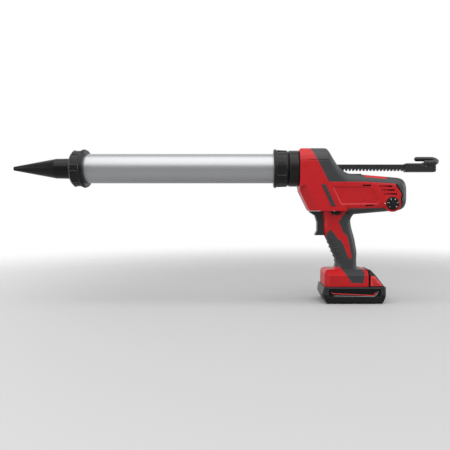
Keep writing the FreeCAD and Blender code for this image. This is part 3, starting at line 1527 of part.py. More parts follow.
def make_motor():
    can = d.motor_radius
    inner = can - d.motor_wall
    motor_rear = motor_front + d.motor_length
    shaft = d.motor_shaft_radius
    seat = d.bearing_radius
    front_seat = motor_front + d.bearing_width
    holder_rear = motor_rear + d.brush_holder_length
    fan_front = holder_rear + d.fan_gap
    fan_rear = fan_front + d.fan_width
    plate_front = fan_rear + d.fan_gap
    plate_rear = plate_front + d.rear_plate_thickness
    turned("motor_can", [
        (motor_front, seat), (front_seat, seat), (front_seat, inner), (motor_rear, inner),
        (motor_rear, can), (motor_front, can),
    ], at=motor_line)
    bearings = []
    for x in (motor_front, plate_front + d.seat_gap):
        ring = bar_along(X_AXIS, d.bearing_radius, d.bearing_width, x, 0, motor_height)
        bearings.append(ring.cut(bar_along(
            X_AXIS, shaft + d.bearing_gap, d.bearing_width * 4, x - d.bearing_width, 0, motor_height,
        )))
    feature("motor_bearings", Part.makeCompound(bearings))
    magnet_front = front_seat + d.planet_gap * 4
    make_magnets(inner, magnet_front)
    shaft_rear = plate_front + d.bearing_width
    turned("motor_shaft", [
        (planet_front, 0.0), (shaft_rear, 0.0), (shaft_rear, shaft), (planet_front, shaft),
    ], at=motor_line)
    make_armature(inner, magnet_front)
    commutator_front = motor_rear + d.commutator_gap
    commutator_rear = commutator_front + d.commutator_length
    turned("commutator", [
        (commutator_front, shaft), (commutator_rear, shaft), (commutator_rear, d.commutator_radius),
        (commutator_front, d.commutator_radius),
    ], at=motor_line)
    make_brush_holder(motor_rear, holder_rear, commutator_front)
    make_fan(fan_front)
    seat_end = plate_front + d.bearing_width + d.seat_gap
    turned("rear_bearing_plate", [
        (plate_front, seat), (seat_end, seat), (seat_end, shaft + d.planet_gap),
        (plate_rear, shaft + d.planet_gap), (plate_rear, can), (plate_front, can),
    ], at=motor_line)


def make_magnets(inner, x):
    """Two curved magnets inside the can."""
    ring = bar_along(X_AXIS, inner, d.magnet_length, x, 0, motor_height)
    ring = ring.cut(bar_along(X_AXIS, inner - d.magnet_thickness, d.magnet_length, x, 0, motor_height))
    gap = d.magnet_thickness
    slot = box_between(x, x + d.magnet_length, -gap, gap, motor_height - inner, motor_height + inner)
    feature("motor_magnets", Part.makeCompound(ring.cut(slot).Solids))


def make_armature(inner, magnet_front):
    radius = inner - d.magnet_thickness - d.armature_gap
    x = magnet_front + (d.magnet_length - d.armature_length) / 2
    core = bar_along(X_AXIS, radius, d.armature_length, x, 0, motor_height)
    slots = [bar_along(X_AXIS, d.motor_shaft_radius, d.armature_length, x, 0, motor_height)]
    for i in range(ARMATURE_SLOTS):
        half = d.armature_slot_width / 2
        slot = box_between(
            x, x + d.armature_length, -half, half, radius - d.armature_slot_depth, radius + d.overrun,
        )
        slot.rotate(Vector(), X_AXIS, 360 * i / ARMATURE_SLOTS)
        slot.translate(vec(0, 0, motor_height))
        slots.append(slot)
    feature("armature", core.cut(slots[0].multiFuse(slots[1:])).removeSplitter())


def make_brush_holder(x_low, x_high, commutator_front):
    """The end bell: a ring with two brush boxes that reach in to the commutator."""
    length = x_high - x_low
    can = d.motor_radius
    ring = bar_along(X_AXIS, can, length, x_low, 0, motor_height)
    ring = ring.cut(bar_along(X_AXIS, can - d.brush_holder_wall, length, x_low, 0, motor_height))
    half = d.brush_width / 2
    reach = d.commutator_radius + d.brush_gap
    bridge = box_between(
        commutator_front + half, commutator_front + half + d.brush_width, -can + d.brush_holder_wall / 2,
        can - d.brush_holder_wall / 2, motor_height - half, motor_height + half,
    )
    bridge = bridge.cut(bar_along(X_AXIS, reach, length, x_low, 0, motor_height))
    feature("brush_holder", ring.multiFuse(bridge.Solids).removeSplitter())


def make_fan(x):
    hub = bar_along(X_AXIS, d.fan_hub_radius, d.fan_width, x, 0, motor_height)
    disc = bar_along(X_AXIS, d.fan_radius, d.fan_blade, x, 0, motor_height)
    blades = []
    for i in range(FAN_BLADES):
        blade = box_between(
            x, x + d.fan_width, d.fan_hub_radius - d.fan_blade, d.fan_radius - d.fan_blade,
            -d.fan_blade / 2, d.fan_blade / 2,
        )
        blade.rotate(Vector(), X_AXIS, 360 * i / FAN_BLADES)
        blade.translate(vec(0, 0, motor_height))
        blades.append(blade)
    bore = bar_along(X_AXIS, d.motor_shaft_radius, d.fan_width, x, 0, motor_height)
    feature("motor_fan", hub.multiFuse([disc] + blades).cut(bore).removeSplitter())


# Trigger, lock, switch and dial
def coil(radius, wire, length, turns, axis, start):
    """A helical spring as one unbroken tube along an axis."""
    pitch = (float(length) - 2 * float(wire)) / turns
    path = Part.makeHelix(pitch, pitch * turns, float(radius))
    ring = Part.makeCircle(float(wire), vec(radius, 0, 0), Y_AXIS)
    shell = Part.BRepOffsetAPI.MakePipeShell(Part.Wire(path.Edges))
    shell.add(Part.Wire(ring))
    shell.build()
    shell.makeSolid()
    spring = shell.shape()
    print("least gap in a spring", round(pitch - 2 * float(wire), 2))
    spring.translate(vec(0, 0, wire))
    spring.Placement = Placement(start, Rotation(Z_AXIS, axis)).multiply(spring.Placement)
    return spring


def make_trigger():
    rear = -d.trigger_rear
    face = -d.trigger_front
    top = d.trigger_bottom + d.trigger_height
    lip = face - d.trigger_lip
    points = [
        (rear, d.trigger_bottom), (face - d.trigger_foot, d.trigger_bottom),
        (face - d.trigger_foot, d.trigger_bottom + d.trigger_foot / 2),
        (face, d.trigger_bottom + d.trigger_foot * TRIGGER_FOOT_SHARE),
    ]
    for ahead, down in TRIGGER_LIP_SHARES:
        points.append((face - d.trigger_lip * ahead, top - d.trigger_lip * down))
    points += [(lip, top - d.trigger_round), (lip, top), (rear, top)]
    blank = padded("trigger_blank", points, d.trigger_half_width)
    side_reach = float(d.trigger_half_width) * SIDE_EDGE_SHARE
    rounded(
        blank, d.trigger_round / 2,
        lambda edge: abs(edge.CenterOfMass.y) > side_reach and edge.CenterOfMass.x < float(face),
    )
    plunger_front = rear - d.plunger_radius
    bore = round_bar(
        "trigger_bore", d.spring_radius + d.spring_wire + d.slide_gap, d.spring_turns_length, X_AXIS,
        rear - d.spring_turns_length + d.switch_gap, 0.0, d.plunger_height,
    )
    stem_length = d.plunger_length + d.plunger_radius + d.spring_turns_length
    stem = round_bar(
        "trigger_plunger", d.plunger_radius, stem_length, X_AXIS,
        plunger_front - d.spring_turns_length, 0.0, d.plunger_height,
    )
    join("trigger", cut("trigger_hollow", blank, bore), stem)
    spring_start = vec(rear - d.spring_turns_length + d.switch_gap + d.seat_gap, 0, d.plunger_height)
    spring_length = d.spring_turns_length + d.trigger_travel - d.seat_gap * 2
    spring = coil(d.spring_radius, d.spring_wire, spring_length, SPRING_TURNS, X_AXIS, spring_start)
    feature("trigger_spring", spring)
    switch_front = rear + d.trigger_travel + d.switch_gap
    half = d.handle_half_width - d.shell_wall - d.seat_gap
    body = slab(
        "switch_block", switch_front, switch_front + d.switch_length, half, d.switch_bottom,
        d.switch_bottom + d.switch_height,
    )
    hole = round_bar(
        "switch_hole", d.plunger_radius + d.slide_gap, d.switch_length - d.shell_wall, X_AXIS,
        switch_front - d.overrun, 0.0, d.plunger_height,
    )
    cut("trigger_switch", body, hole)


def make_lock():
    half = d.handle_half_width * HANDLE_SHARES[-2][-1] + d.lock_stand
    face = polygon_face(lock_points(0))
    face.translate(vec(0, -half, 0))
    feature("lock_shuttle", face.extrude(Y_AXIS * float(half) * 2))


def make_dial():
    rim_face = -d.dial_boss_face - d.dial_stand
    rim_back = rim_face + d.dial_depth - d.seat_gap
    ring = d.dial_radius
    stem_end = rim_back + d.dial_stem_length
    disc = turned("dial_disc", [
        (rim_face, 0.0), (stem_end, 0.0), (stem_end, d.dial_stem_radius), (rim_back, d.dial_stem_radius),
        (rim_back, ring), (rim_face + d.dial_rib_radius, ring), (rim_face, ring - d.dial_rib_radius),
    ], along="Y", at=(d.dial_place, 0.0, d.dial_height))
    flutes = []
    for i in range(DIAL_RIBS):
        angle = 2 * math.pi * i / DIAL_RIBS
        flutes.append(bar_along(
            Y_AXIS, d.dial_rib_radius, d.dial_depth, d.dial_place + ring * math.cos(angle),
            rim_face - d.overrun, d.dial_height + ring * math.sin(angle),
        ))
    cut("speed_dial", disc, feature("dial_flutes", flutes[0].multiFuse(flutes[1:])))
    board_face = stem_end + d.seat_gap
    block(
        "control_board", d.board_length, d.board_thickness, d.board_height,
        d.dial_place - d.board_length / 2, board_face, d.dial_height - d.board_height / 2,
    )


# Battery
def pack_section(low, high, half, inset):
    """The pack's plan with rounded corners between two heights."""
    x_low = float(-d.pack_front) + inset
    x_high = float(d.pack_rear) - inset
    radius = max(float(d.pack_corner_radius) - inset, float(d.seat_gap))
    wire = ring_wire(float(half) - inset, x_low, x_high, radius, lambda u, v: vec(v, u, low))
    solid = Part.Face(wire).extrude(Z_AXIS * float(high - low))
    chamfer = float(d.pack_front_chamfer) - inset
    side = float(d.pack_side_chamfer)
    base = inset
    roof = d.wedge_top * 2
    profile = [
        vec(x_low + chamfer * PACK_FRONT_SHARE, 0, base), vec(x_low, 0, base + chamfer),
        vec(x_low, 0, d.pack_split), vec(x_low + d.pack_shoulder, 0, d.pack_top),
        vec(x_low + d.pack_shoulder, 0, roof), vec(x_high, 0, roof), vec(x_high, 0, base + chamfer),
        vec(x_high - chamfer * PACK_REAR_SHARE, 0, base),
    ]
    along = polygon_face(profile)
    along.translate(vec(0, -half * 2, 0))
    wide = half - inset
    across = [
        vec(x_low, side - half, base), vec(x_low, -wide, base + side), vec(x_low, -wide, roof),
        vec(x_low, wide, roof), vec(x_low, wide, base + side), vec(x_low, half - side, base),
    ]
    run = polygon_face(across).extrude(X_AXIS * (x_high - x_low))
    return solid.common(along.extrude(Y_AXIS * float(half) * 4)).common(run)


def make_pack():
    wall = float(d.pack_wall)
    half = d.pack_half_width
    base = pack_section(0, d.pack_split, half, 0)
    base_room = pack_section(d.pack_wall, d.pack_split + d.overrun, half, wall)
    notches = []
    for share in NOTCH_SHARES:
        x = d.pack_rear * share
        for y in (-half, half - d.notch_reach):
            notches.append(box_between(
                x, x + d.notch_length, y, y + d.notch_reach, -d.notch_height, d.notch_height,
            ))
    feature("pack_lower_case", base.cut(base_room).cut(notches[0].multiFuse(notches[1:])))
    cover = pack_section(d.pack_split, d.pack_top, half, 0)
    cover_room = pack_section(d.pack_split - d.overrun, d.pack_top - d.pack_wall, half, wall)
    wedge_rear = d.pack_rear - d.pack_shoulder
    wedge = polygon_face([
        vec(d.wedge_front, 0, d.pack_top), vec(d.wedge_front, 0, d.wedge_top),
        vec(d.wedge_front + d.wedge_crest, 0, d.wedge_top), vec(wedge_rear, 0, d.pack_top),
    ])
    wedge.translate(vec(0, -d.wedge_half_width, 0))
    wedge = wedge.extrude(Y_AXIS * float(d.wedge_half_width) * 2).common(wedge_end(wedge_rear))
    rail = rail_channel(0)
    slots = []
    for y in blade_places():
        slots.append(box_between(
            -d.rail_front - d.overrun, -d.blade_place + d.blade_length,
            y - d.blade_slot / 2, y + d.blade_slot / 2, d.pack_top + d.pack_wall, d.wedge_top,
        ))
    slot = slots[0].multiFuse(slots[1:])
    top = cover.cut(cover_room).multiFuse([wedge, rail])
    room_depth = d.latch_depth + d.latch_travel + d.latch_spring_length
    rooms = [latch_prism(side, d.slide_gap, room_depth) for side in (-1, 1)]
    case = top.cut(slot).cut(rooms[0].fuse(rooms[1]))
    feature("pack_upper_case", case.removeSplitter())
    make_cells()
    make_latches()
    make_terminals()


def wedge_end(wedge_rear):
    """The wedge's end view with its sloped shoulders, run along X."""
    half = d.wedge_half_width
    x = d.wedge_front
    shoulder = d.wedge_top - d.wedge_shoulder_height
    crest = half - d.wedge_shoulder_width
    end = polygon_face([
        vec(x, -half, d.pack_top), vec(x, -half, shoulder), vec(x, -crest, d.wedge_top),
        vec(x, crest, d.wedge_top), vec(x, half, shoulder), vec(x, half, d.pack_top),
    ])
    return end.extrude(X_AXIS * float(wedge_rear - x))


def blade_places():
    return [d.blade_pitch * (i - (BLADES - 1) / 2) for i in range(BLADES)]


def make_cells():
    cells = []
    z = d.pack_wall + d.seat_gap + d.cell_radius
    for i in range(CELLS):
        x = d.cell_pitch * (i - (CELLS - 1) / 2) - (d.pack_front - d.pack_rear) / 2
        cells.append(bar_along(Y_AXIS, d.cell_radius, d.cell_length, x, -d.cell_length / 2, z))
    feature("battery_cells", Part.makeCompound(cells))
    board_low = z + d.cell_radius + d.seat_gap
    slab(
        "pack_board", -d.pack_board_length / 2, d.pack_board_length / 2, d.pack_board_width / 2,
        board_low, board_low + d.pack_board_thickness,
    )


def latch_prism(side, gap, depth):
    """A latch button's three-sided block, grown by gap, let into the wedge's side."""
    low = d.latch_bottom - gap
    front_edge = d.latch_front - gap
    face = polygon_face([
        vec(front_edge, 0, low), vec(front_edge, 0, d.latch_bottom + d.latch_height + gap),
        vec(d.latch_front + d.latch_length * LATCH_TOP_SHARE, 0, d.latch_bottom + d.latch_height + gap),
        vec(d.latch_front + d.latch_length + gap, 0, low),
    ])
    start = d.wedge_half_width + d.latch_stand
    face.translate(vec(0, start * side, 0))
    return face.extrude(Y_AXIS * (-side * float(depth + d.latch_stand)))


def make_latches():
    springs = []
    for name, side in (("left", -1), ("right", 1)):
        button = latch_prism(side, 0, d.latch_depth)
        rim = [edge for edge in button.Edges if abs(edge.CenterOfMass.y) > float(d.wedge_half_width)]
        feature(f"latch_button_{name}", button.makeChamfer(float(d.latch_chamfer), rim))
        inner = d.wedge_half_width - d.latch_depth - d.latch_travel - d.latch_spring_length
        start = vec(
            d.latch_front + d.latch_length / 3, (inner + d.seat_gap) * side,
            d.latch_bottom + d.latch_height / 3,
        )
        length = d.latch_spring_length + d.latch_travel - d.seat_gap * 2
        springs.append(coil(
            d.latch_spring_radius, d.latch_spring_wire, length, SPRING_TURNS, Y_AXIS * side, start,
        ))
    feature("latch_springs", Part.makeCompound(springs))


def make_terminals():
    """The tool's terminal block in the foot, with its blades down in the battery's slots."""
    low = d.pack_top + d.rail_height + d.shell_wall
    x_low = -d.blade_place - d.blade_length / 2
    body = box_between(
        x_low, x_low + d.terminal_length, -d.terminal_half_width, d.terminal_half_width,
        low, low + d.terminal_height,
    )
    blades = []
    for y in blade_places():
        blades.append(box_between(
            x_low, x_low + d.blade_length, y - d.blade_thickness / 2, y + d.blade_thickness / 2,
            low - d.shell_wall - d.blade_height, low,
        ))
    feature("terminal_block", body.multiFuse(blades).removeSplitter())


NODES = [
    "nozzle", "front_cap", "carrier_tube", "rear_collar", "swivel_ring", "swivel_clip", "nose_flange",
    "drive_rack", "piston_plate", "piston_seal", "piston_screw", "rod_grip", "grip_pin",
    "left_housing", "right_housing", "left_overmold", "right_overmold", "side_bumpers",
    "housing_screws", "gear_case_left", "gear_case_right", "rod_guides", "shaft_bushes",
    "rack_pinion", "pinion_shaft", "clutch_plate", "drive_gear", "cross_shaft", "spur_pinion",
    "bevel_gear", "bevel_pinion", "planet_carrier", "planet_gear_1", "planet_gear_2", "planet_gear_3",
    "ring_gear", "sun_gear", "motor_can", "motor_magnets", "motor_bearings", "motor_shaft", "armature",
    "commutator", "brush_holder", "motor_fan", "rear_bearing_plate", "trigger", "trigger_spring",
    "trigger_switch", "lock_shuttle", "speed_dial", "control_board", "terminal_block",
    "pack_lower_case", "pack_upper_case", "battery_cells", "pack_board", "latch_button_left",
    "latch_button_right", "latch_springs",
]


def build():
    make_carriage()
    make_front_cap()
    make_rod()
    make_gear_case()
    make_gears()
    make_planet_stage()
    make_motor()
    make_trigger()
    make_lock()
    make_dial()
    make_pack()
    make_housing()
    doc.recompute()


def export():
    """Writes one STEP file for each node, once every object is sound."""
    for thing in doc.Objects:
        faults = {"Invalid", "Error"} & set(thing.State)
        if faults:
            raise RuntimeError(f"{thing.Label} is {faults}")
    os.makedirs("parts", exist_ok=True)
    for name in NODES:
        shape = doc.getObject(name).Shape
        if not shape.isValid() or not shape.Solids:
            raise RuntimeError(f"{name} has no sound solid")
        shape.exportStep(f"parts/{name}.step")


build()
export()
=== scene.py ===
# %% [markdown]
# # A cordless caulking tool, dressed for the camera
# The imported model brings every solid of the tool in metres: the red housing halves, the rubber
# that is moulded over them, the tube, the rod, the battery and all the works inside. This lesson
# keeps those solids where they are and gives them light, finishes and the small printed and
# moulded details that a solid model does not carry.

import math

import bmesh
import bpy
import numpy as np
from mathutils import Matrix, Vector


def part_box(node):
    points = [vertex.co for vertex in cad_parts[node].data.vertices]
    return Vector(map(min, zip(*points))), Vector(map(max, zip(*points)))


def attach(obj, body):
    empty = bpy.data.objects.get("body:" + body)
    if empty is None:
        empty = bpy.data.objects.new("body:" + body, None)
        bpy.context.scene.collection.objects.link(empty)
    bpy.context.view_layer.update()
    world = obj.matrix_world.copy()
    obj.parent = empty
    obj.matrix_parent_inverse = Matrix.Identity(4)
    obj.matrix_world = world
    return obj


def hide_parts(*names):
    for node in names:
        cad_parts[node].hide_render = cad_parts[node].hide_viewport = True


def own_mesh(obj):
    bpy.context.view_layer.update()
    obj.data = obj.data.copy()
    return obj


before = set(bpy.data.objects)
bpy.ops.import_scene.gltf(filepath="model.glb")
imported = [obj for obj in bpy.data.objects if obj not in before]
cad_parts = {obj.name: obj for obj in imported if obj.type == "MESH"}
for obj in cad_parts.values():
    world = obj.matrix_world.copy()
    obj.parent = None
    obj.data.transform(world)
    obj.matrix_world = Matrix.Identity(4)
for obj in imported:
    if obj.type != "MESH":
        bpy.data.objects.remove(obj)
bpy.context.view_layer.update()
MM = 0.001

# %% [markdown]
# ## Camera
# The tool was seen square from its side by a lens about 0.9 m away, near enough that the near side
# looks larger than the far one. The picture's scale is known at the tool's middle plane, so the
# focal length follows from the distance. The lens axis met the picture a little right of and above
# its middle. Turning the camera would tilt the tool's upright lines, so a small shift of the frame
# is used instead.

# %% Place the camera
PHOTO_PIXELS = 450
PIXEL = 1.81 * MM
ORIGIN_PIXEL = np.array([351.0, 300.2])
AXIS_PIXEL = np.array([251.0, 212.0])
VIEW_DISTANCE = 887 * MM
SENSOR_MM = 36.0

axis_x = (AXIS_PIXEL[0] - ORIGIN_PIXEL[0]) * PIXEL
axis_z = (ORIGIN_PIXEL[1] - AXIS_PIXEL[1]) * PIXEL
camera_lens = bpy.data.cameras.new("studio_camera")
camera_lens.sensor_width = SENSOR_MM
camera_lens.lens = SENSOR_MM * VIEW_DISTANCE / (PHOTO_PIXELS * PIXEL)
camera_lens.shift_x = (PHOTO_PIXELS / 2 - AXIS_PIXEL[0]) / PHOTO_PIXELS
camera_lens.shift_y = (AXIS_PIXEL[1] - PHOTO_PIXELS / 2) / PHOTO_PIXELS
camera = bpy.data.objects.new("studio_camera", camera_lens)
camera.location = (axis_x, -VIEW_DISTANCE, axis_z)
camera.rotation_euler = (math.radians(90), 0, 0)
bpy.context.scene.collection.objects.link(camera)
bpy.context.scene.camera = camera
bpy.context.scene.view_settings.view_transform = "Standard"
print("lens", round(camera_lens.lens, 2), "mm")

# %% [markdown]
# ## Surfaces from numbers
# Every new piece is a grid of points: one parameter runs along a path, the other round a profile.
# Blender's own primitives could be cut and bent instead, but with whole arrays each shape is one
# short formula. A few small helpers are enough. Two list the faces of a grid, one puts the arrays
# into a mesh and lets the piece ride on the body of the tool that carries it, and one adds a node to
# a shader.


# %% Grid helpers
def grid_quads(rows, columns, close_rows=False, close_columns=False):
    """The quads of a grid of rows by columns points, numbered row by row: the point, its right
    neighbour, that one's neighbour in the next row, and the one below the point."""
    row = np.arange(rows if close_rows else rows - 1)[:, None]
    column = np.arange(columns if close_columns else columns - 1)[None, :]
    right = (column + 1) % columns
    here = row * columns
    below = ((row + 1) % rows) * columns
    corners = [here + column, here + right, below + right, below + column]
    return np.stack(corners, axis=-1).reshape(-1, 4)


def capped_quads(rows, columns):
    """The faces of a closed tube: the quads round it, and one flat face on its first and last row."""
    first = list(range(columns))
    last = list(range((rows - 1) * columns, rows * columns))
    return grid_quads(rows, columns, close_columns=True).tolist() + [first, last]


def place_piece(name, points, faces, material, body, slot, smooth=True):
    """Makes one mesh object from an array of points and a list of faces, in metres in the tool's own
    frame. The surface is closed, so its faces can be turned outwards once they are all there."""
    mesh = bpy.data.meshes.new(name)
    mesh.from_pydata(points.reshape(-1, 3).tolist(), [], faces)
    shell = bmesh.new()
    shell.from_mesh(mesh)
    bmesh.ops.recalc_face_normals(shell, faces=shell.faces)
    shell.to_mesh(mesh)
    shell.free()
    mesh.polygons.foreach_set("use_smooth", np.full(len(mesh.polygons), smooth))
    mesh.materials.append(material)
    piece = bpy.data.objects.new(name, mesh)
    bpy.context.scene.collection.objects.link(piece)
    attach(piece, body)
    print(name, len(mesh.polygons), "faces")
    return piece


# %% Node helper
def add_node(tree, kind, settings=None, **inputs):
    """One node with its settings, and its inputs set to a value or linked from another socket. An
    input is named by its label, or by its number after an underscore."""
    node = tree.nodes.new(kind)
    for label, value in (settings or {}).items():
        setattr(node, label, value)
    for label, value in inputs.items():
        key = int(label[1:]) if label[0] == "_" else label.replace("_", " ")
        socket = node.inputs[key]
        if isinstance(value, bpy.types.NodeSocket):
            tree.links.new(value, socket)
        else:
            socket.default_value = value
    return node


# %% [markdown]
# ## Floor and light
# The studio is plain: a pale floor that fades into a pale room, one wide soft box that hangs over the
# tool and leans towards the camera, and a small one on each side. The wide box is what draws the
# long bright band on the upper half of the tube. The right one gives the back of the handle and the
# rear of the barrel a soft rim, and the left one the trigger, the grip's ribs and the front corners.
# The room is brightest behind the tool and dimmer behind the camera, so that the light keeps a
# direction and round pieces keep a shaded side. More light would whiten the tool along with the
# backdrop, so only the rays that show the backdrop, straight or in a reflection, find it white.

# %% Pale floor
FLOOR_HOLE, FLOOR_RADIUS = 0.02, 3.0
FLOOR_RINGS, FLOOR_SPOKES = 24, 64
FLOOR_DROP = 0.2 * MM

ring = np.linspace(FLOOR_HOLE, FLOOR_RADIUS, FLOOR_RINGS)[:, None]
spoke = np.linspace(0, 2 * np.pi, FLOOR_SPOKES, endpoint=False)[None, :]
floor_points = np.stack(
    [ring * np.cos(spoke), ring * np.sin(spoke), 0 * ring * spoke - FLOOR_DROP], axis=-1
)
floor_faces = grid_quads(FLOOR_RINGS, FLOOR_SPOKES, close_columns=True).tolist()
floor_faces.append(list(range(FLOOR_SPOKES)))
floor_mesh = bpy.data.meshes.new("studio_floor")
floor_mesh.from_pydata(floor_points.reshape(-1, 3).tolist(), [], floor_faces)
floor = bpy.data.objects.new("studio_floor", floor_mesh)
bpy.context.scene.collection.objects.link(floor)
print("floor", len(floor_mesh.polygons), "faces")


# %% Floor finish
def linear(red, green, blue):
    """A colour as a picture stores it, 0 to 255, turned into the linear light that shaders use: a
    straight line for the darkest levels, and a power of 2.4 above them."""
    level = np.array([red, green, blue]) / 255
    light = np.where(level <= 0.04045, level / 12.92, ((level + 0.055) / 1.055) ** 2.4)
    return (*light.tolist(), 1.0)


FLOOR_COLOUR = (176, 176, 177)
FADE_START, FADE_END = 0.35, 1.5
floor_finish = bpy.data.materials.new("studio_floor")
floor_finish.use_nodes = True
floor_tree = floor_finish.node_tree
floor_where = add_node(floor_tree, "ShaderNodeTexCoord").outputs["Object"]
floor_reach = add_node(floor_tree, "ShaderNodeVectorMath", {"operation": "LENGTH"}, _0=floor_where)
floor_fade = add_node(
    floor_tree, "ShaderNodeMapRange", {"interpolation_type": "SMOOTHSTEP"},
    Value=floor_reach.outputs["Value"], From_Min=FADE_START, From_Max=FADE_END, To_Min=1.0, To_Max=0.0,
)
floor_shader = floor_tree.nodes["Principled BSDF"]
floor_shader.inputs["Base Color"].default_value = linear(*FLOOR_COLOUR)
floor_shader.inputs["Roughness"].default_value = 0.9
floor_shader.inputs["Specular IOR Level"].default_value = 0.1
floor_tree.links.new(floor_fade.outputs["Result"], floor_shader.inputs["Alpha"])
floor_mesh.materials.append(floor_finish)
print("floor fades from", FADE_START, "to", FADE_END, "m")

# %% Room
BACK_LEVEL, FRONT_LEVEL = 0.74, 0.5
SEEN_LEVEL = 1.0
ROOM_TURN = 0.8
world = bpy.data.worlds.new("studio_room")
world.use_nodes = True
bpy.context.scene.world = world
room = world.node_tree
backdrop = room.nodes["Background"]
backdrop.inputs["Color"].default_value = (1.0, 1.0, 1.0, 1.0)
rays = add_node(room, "ShaderNodeLightPath").outputs
seen = add_node(
    room, "ShaderNodeMath", {"operation": "MAXIMUM"}, _0=rays["Is Camera Ray"], _1=rays["Is Glossy Ray"]
)
shown = add_node(
    room, "ShaderNodeMath", {"operation": "MAXIMUM"}, _0=seen.outputs[0], _1=rays["Is Transmission Ray"]
)
back = add_node(
    room, "ShaderNodeMapRange", Value=shown.outputs[0], To_Min=BACK_LEVEL, To_Max=SEEN_LEVEL
)
direction = add_node(room, "ShaderNodeTexCoord").outputs["Generated"]
axes = add_node(room, "ShaderNodeSeparateXYZ", _0=direction)
level = add_node(
    room, "ShaderNodeMapRange", Value=axes.outputs["Y"], From_Min=-ROOM_TURN, From_Max=ROOM_TURN,
    To_Min=FRONT_LEVEL, To_Max=back.outputs["Result"],
)
room.links.new(level.outputs["Result"], backdrop.inputs["Strength"])
print("room level", FRONT_LEVEL, "to", BACK_LEVEL)


# %% Soft boxes
def soft_box(name, place, aim, width, height, radiance):
    """An area lamp whose face has the given radiance: the power is radiance x area x pi."""
    lamp = bpy.data.lights.new(name, "AREA")
    lamp.shape = "RECTANGLE"
    lamp.size = width
    lamp.size_y = height
    lamp.energy = radiance * width * height * math.pi
    box = bpy.data.objects.new(name, lamp)
    box.location = place
    towards = (np.array(aim) - np.array(place)).tolist()
    box.rotation_euler = Vector(towards).to_track_quat("-Z", "Y").to_euler()
    bpy.context.scene.collection.objects.link(box)
    print(name, round(lamp.energy, 2), "W")


SOFT_BOXES = {
    "soft_box_above": dict(
        place=(-0.15, -0.59, 1.3), aim=(-0.15, 0.0, 0.2), width=2.2, height=1.8, radiance=1.9
    ),
    "soft_box_right": dict(
        place=(1.25, -0.05, 0.52), aim=(0.05, 0.0, 0.18), width=0.8, height=0.55, radiance=5.0
    ),
    "soft_box_left": dict(
        place=(-1.3, -0.25, 0.4), aim=(-0.05, 0.0, 0.16), width=0.5, height=0.4, radiance=6.0
    ),
}
for box_name, box_values in SOFT_BOXES.items():
    soft_box(box_name, **box_values)

# %% [markdown]
# ## Shared effects
# Three effects come back in several finishes, so each is a node group with its own inputs, built once
# and placed in every material that needs it. The moulded grain is the fine spark texture of a mould.
# The wear and edge highlight group finds where a surface turns sharply, by comparing the true normal with
# one that is rounded over a small radius, and hands back that softened normal as well. The lighter colour
# it lays on those edges is partly wear and partly a painted highlight. The drawn lines are the faint
# streaks that a die leaves on a tube.

# %% Node group helper
FLOAT = "NodeSocketFloat"
VECTOR = "NodeSocketVector"


def new_group(name, inputs, outputs):
    """An empty shader group. inputs is {name: default}, outputs is {name: socket kind}."""
    group = bpy.data.node_groups.new(name, "ShaderNodeTree")
    for label, value in inputs.items():
        socket = group.interface.new_socket(label, in_out="INPUT", socket_type=FLOAT)
        socket.default_value = value
    for label, kind in outputs.items():
        group.interface.new_socket(label, in_out="OUTPUT", socket_type=kind)
    return group, group.nodes.new("NodeGroupInput"), group.nodes.new("NodeGroupOutput")


# %% Moulded grain
grain_group, grain_in, grain_out = new_group(
    "moulded_grain", {"Fineness": 2200.0, "Cloud": 60.0}, {"Height": FLOAT, "Tone": FLOAT}
)
where = add_node(grain_group, "ShaderNodeTexCoord").outputs["Object"]
spark = add_node(
    grain_group, "ShaderNodeTexNoise",
    Vector=where, Scale=grain_in.outputs["Fineness"], Detail=2.0, Roughness=0.6,
)
cloud = add_node(
    grain_group, "ShaderNodeTexNoise",
    Vector=where, Scale=grain_in.outputs["Cloud"], Detail=3.0, Roughness=0.55,
)
grain_group.links.new(spark.outputs["Fac"], grain_out.inputs["Height"])
grain_group.links.new(cloud.outputs["Fac"], grain_out.inputs["Tone"])

# %% Wear and painted edge highlight
edge_group, edge_in, edge_out = new_group(
    "wear_and_edge_highlight", {"Radius": 0.8 * MM, "Patches": 180.0}, {"Mask": FLOAT, "Normal": VECTOR}
)
rounded = add_node(edge_group, "ShaderNodeBevel", {"samples": 6}, Radius=edge_in.outputs["Radius"])
true_normal = add_node(edge_group, "ShaderNodeNewGeometry").outputs["Normal"]
turn = add_node(
    edge_group, "ShaderNodeVectorMath", {"operation": "DOT_PRODUCT"},
    _0=rounded.outputs[0], _1=true_normal,
)
sharp = add_node(
    edge_group, "ShaderNodeMapRange",
    Value=turn.outputs["Value"], From_Min=0.99, From_Max=0.80, To_Min=0.0, To_Max=1.0,
)
edge_where = add_node(edge_group, "ShaderNodeTexCoord").outputs["Object"]
patch = add_node(
    edge_group, "ShaderNodeTexNoise", Vector=edge_where, Scale=edge_in.outputs["Patches"], Detail=4.0
)
patchy = add_node(
    edge_group, "ShaderNodeMapRange",
    Value=patch.outputs["Fac"], From_Min=0.35, From_Max=0.65, To_Min=0.25, To_Max=1.0,
)
wear_and_highlight_mask = add_node(
    edge_group, "ShaderNodeMath", {"operation": "MULTIPLY"},
    _0=sharp.outputs["Result"], _1=patchy.outputs["Result"],
)
edge_group.links.new(wear_and_highlight_mask.outputs[0], edge_out.inputs["Mask"])
edge_group.links.new(rounded.outputs[0], edge_out.inputs["Normal"])

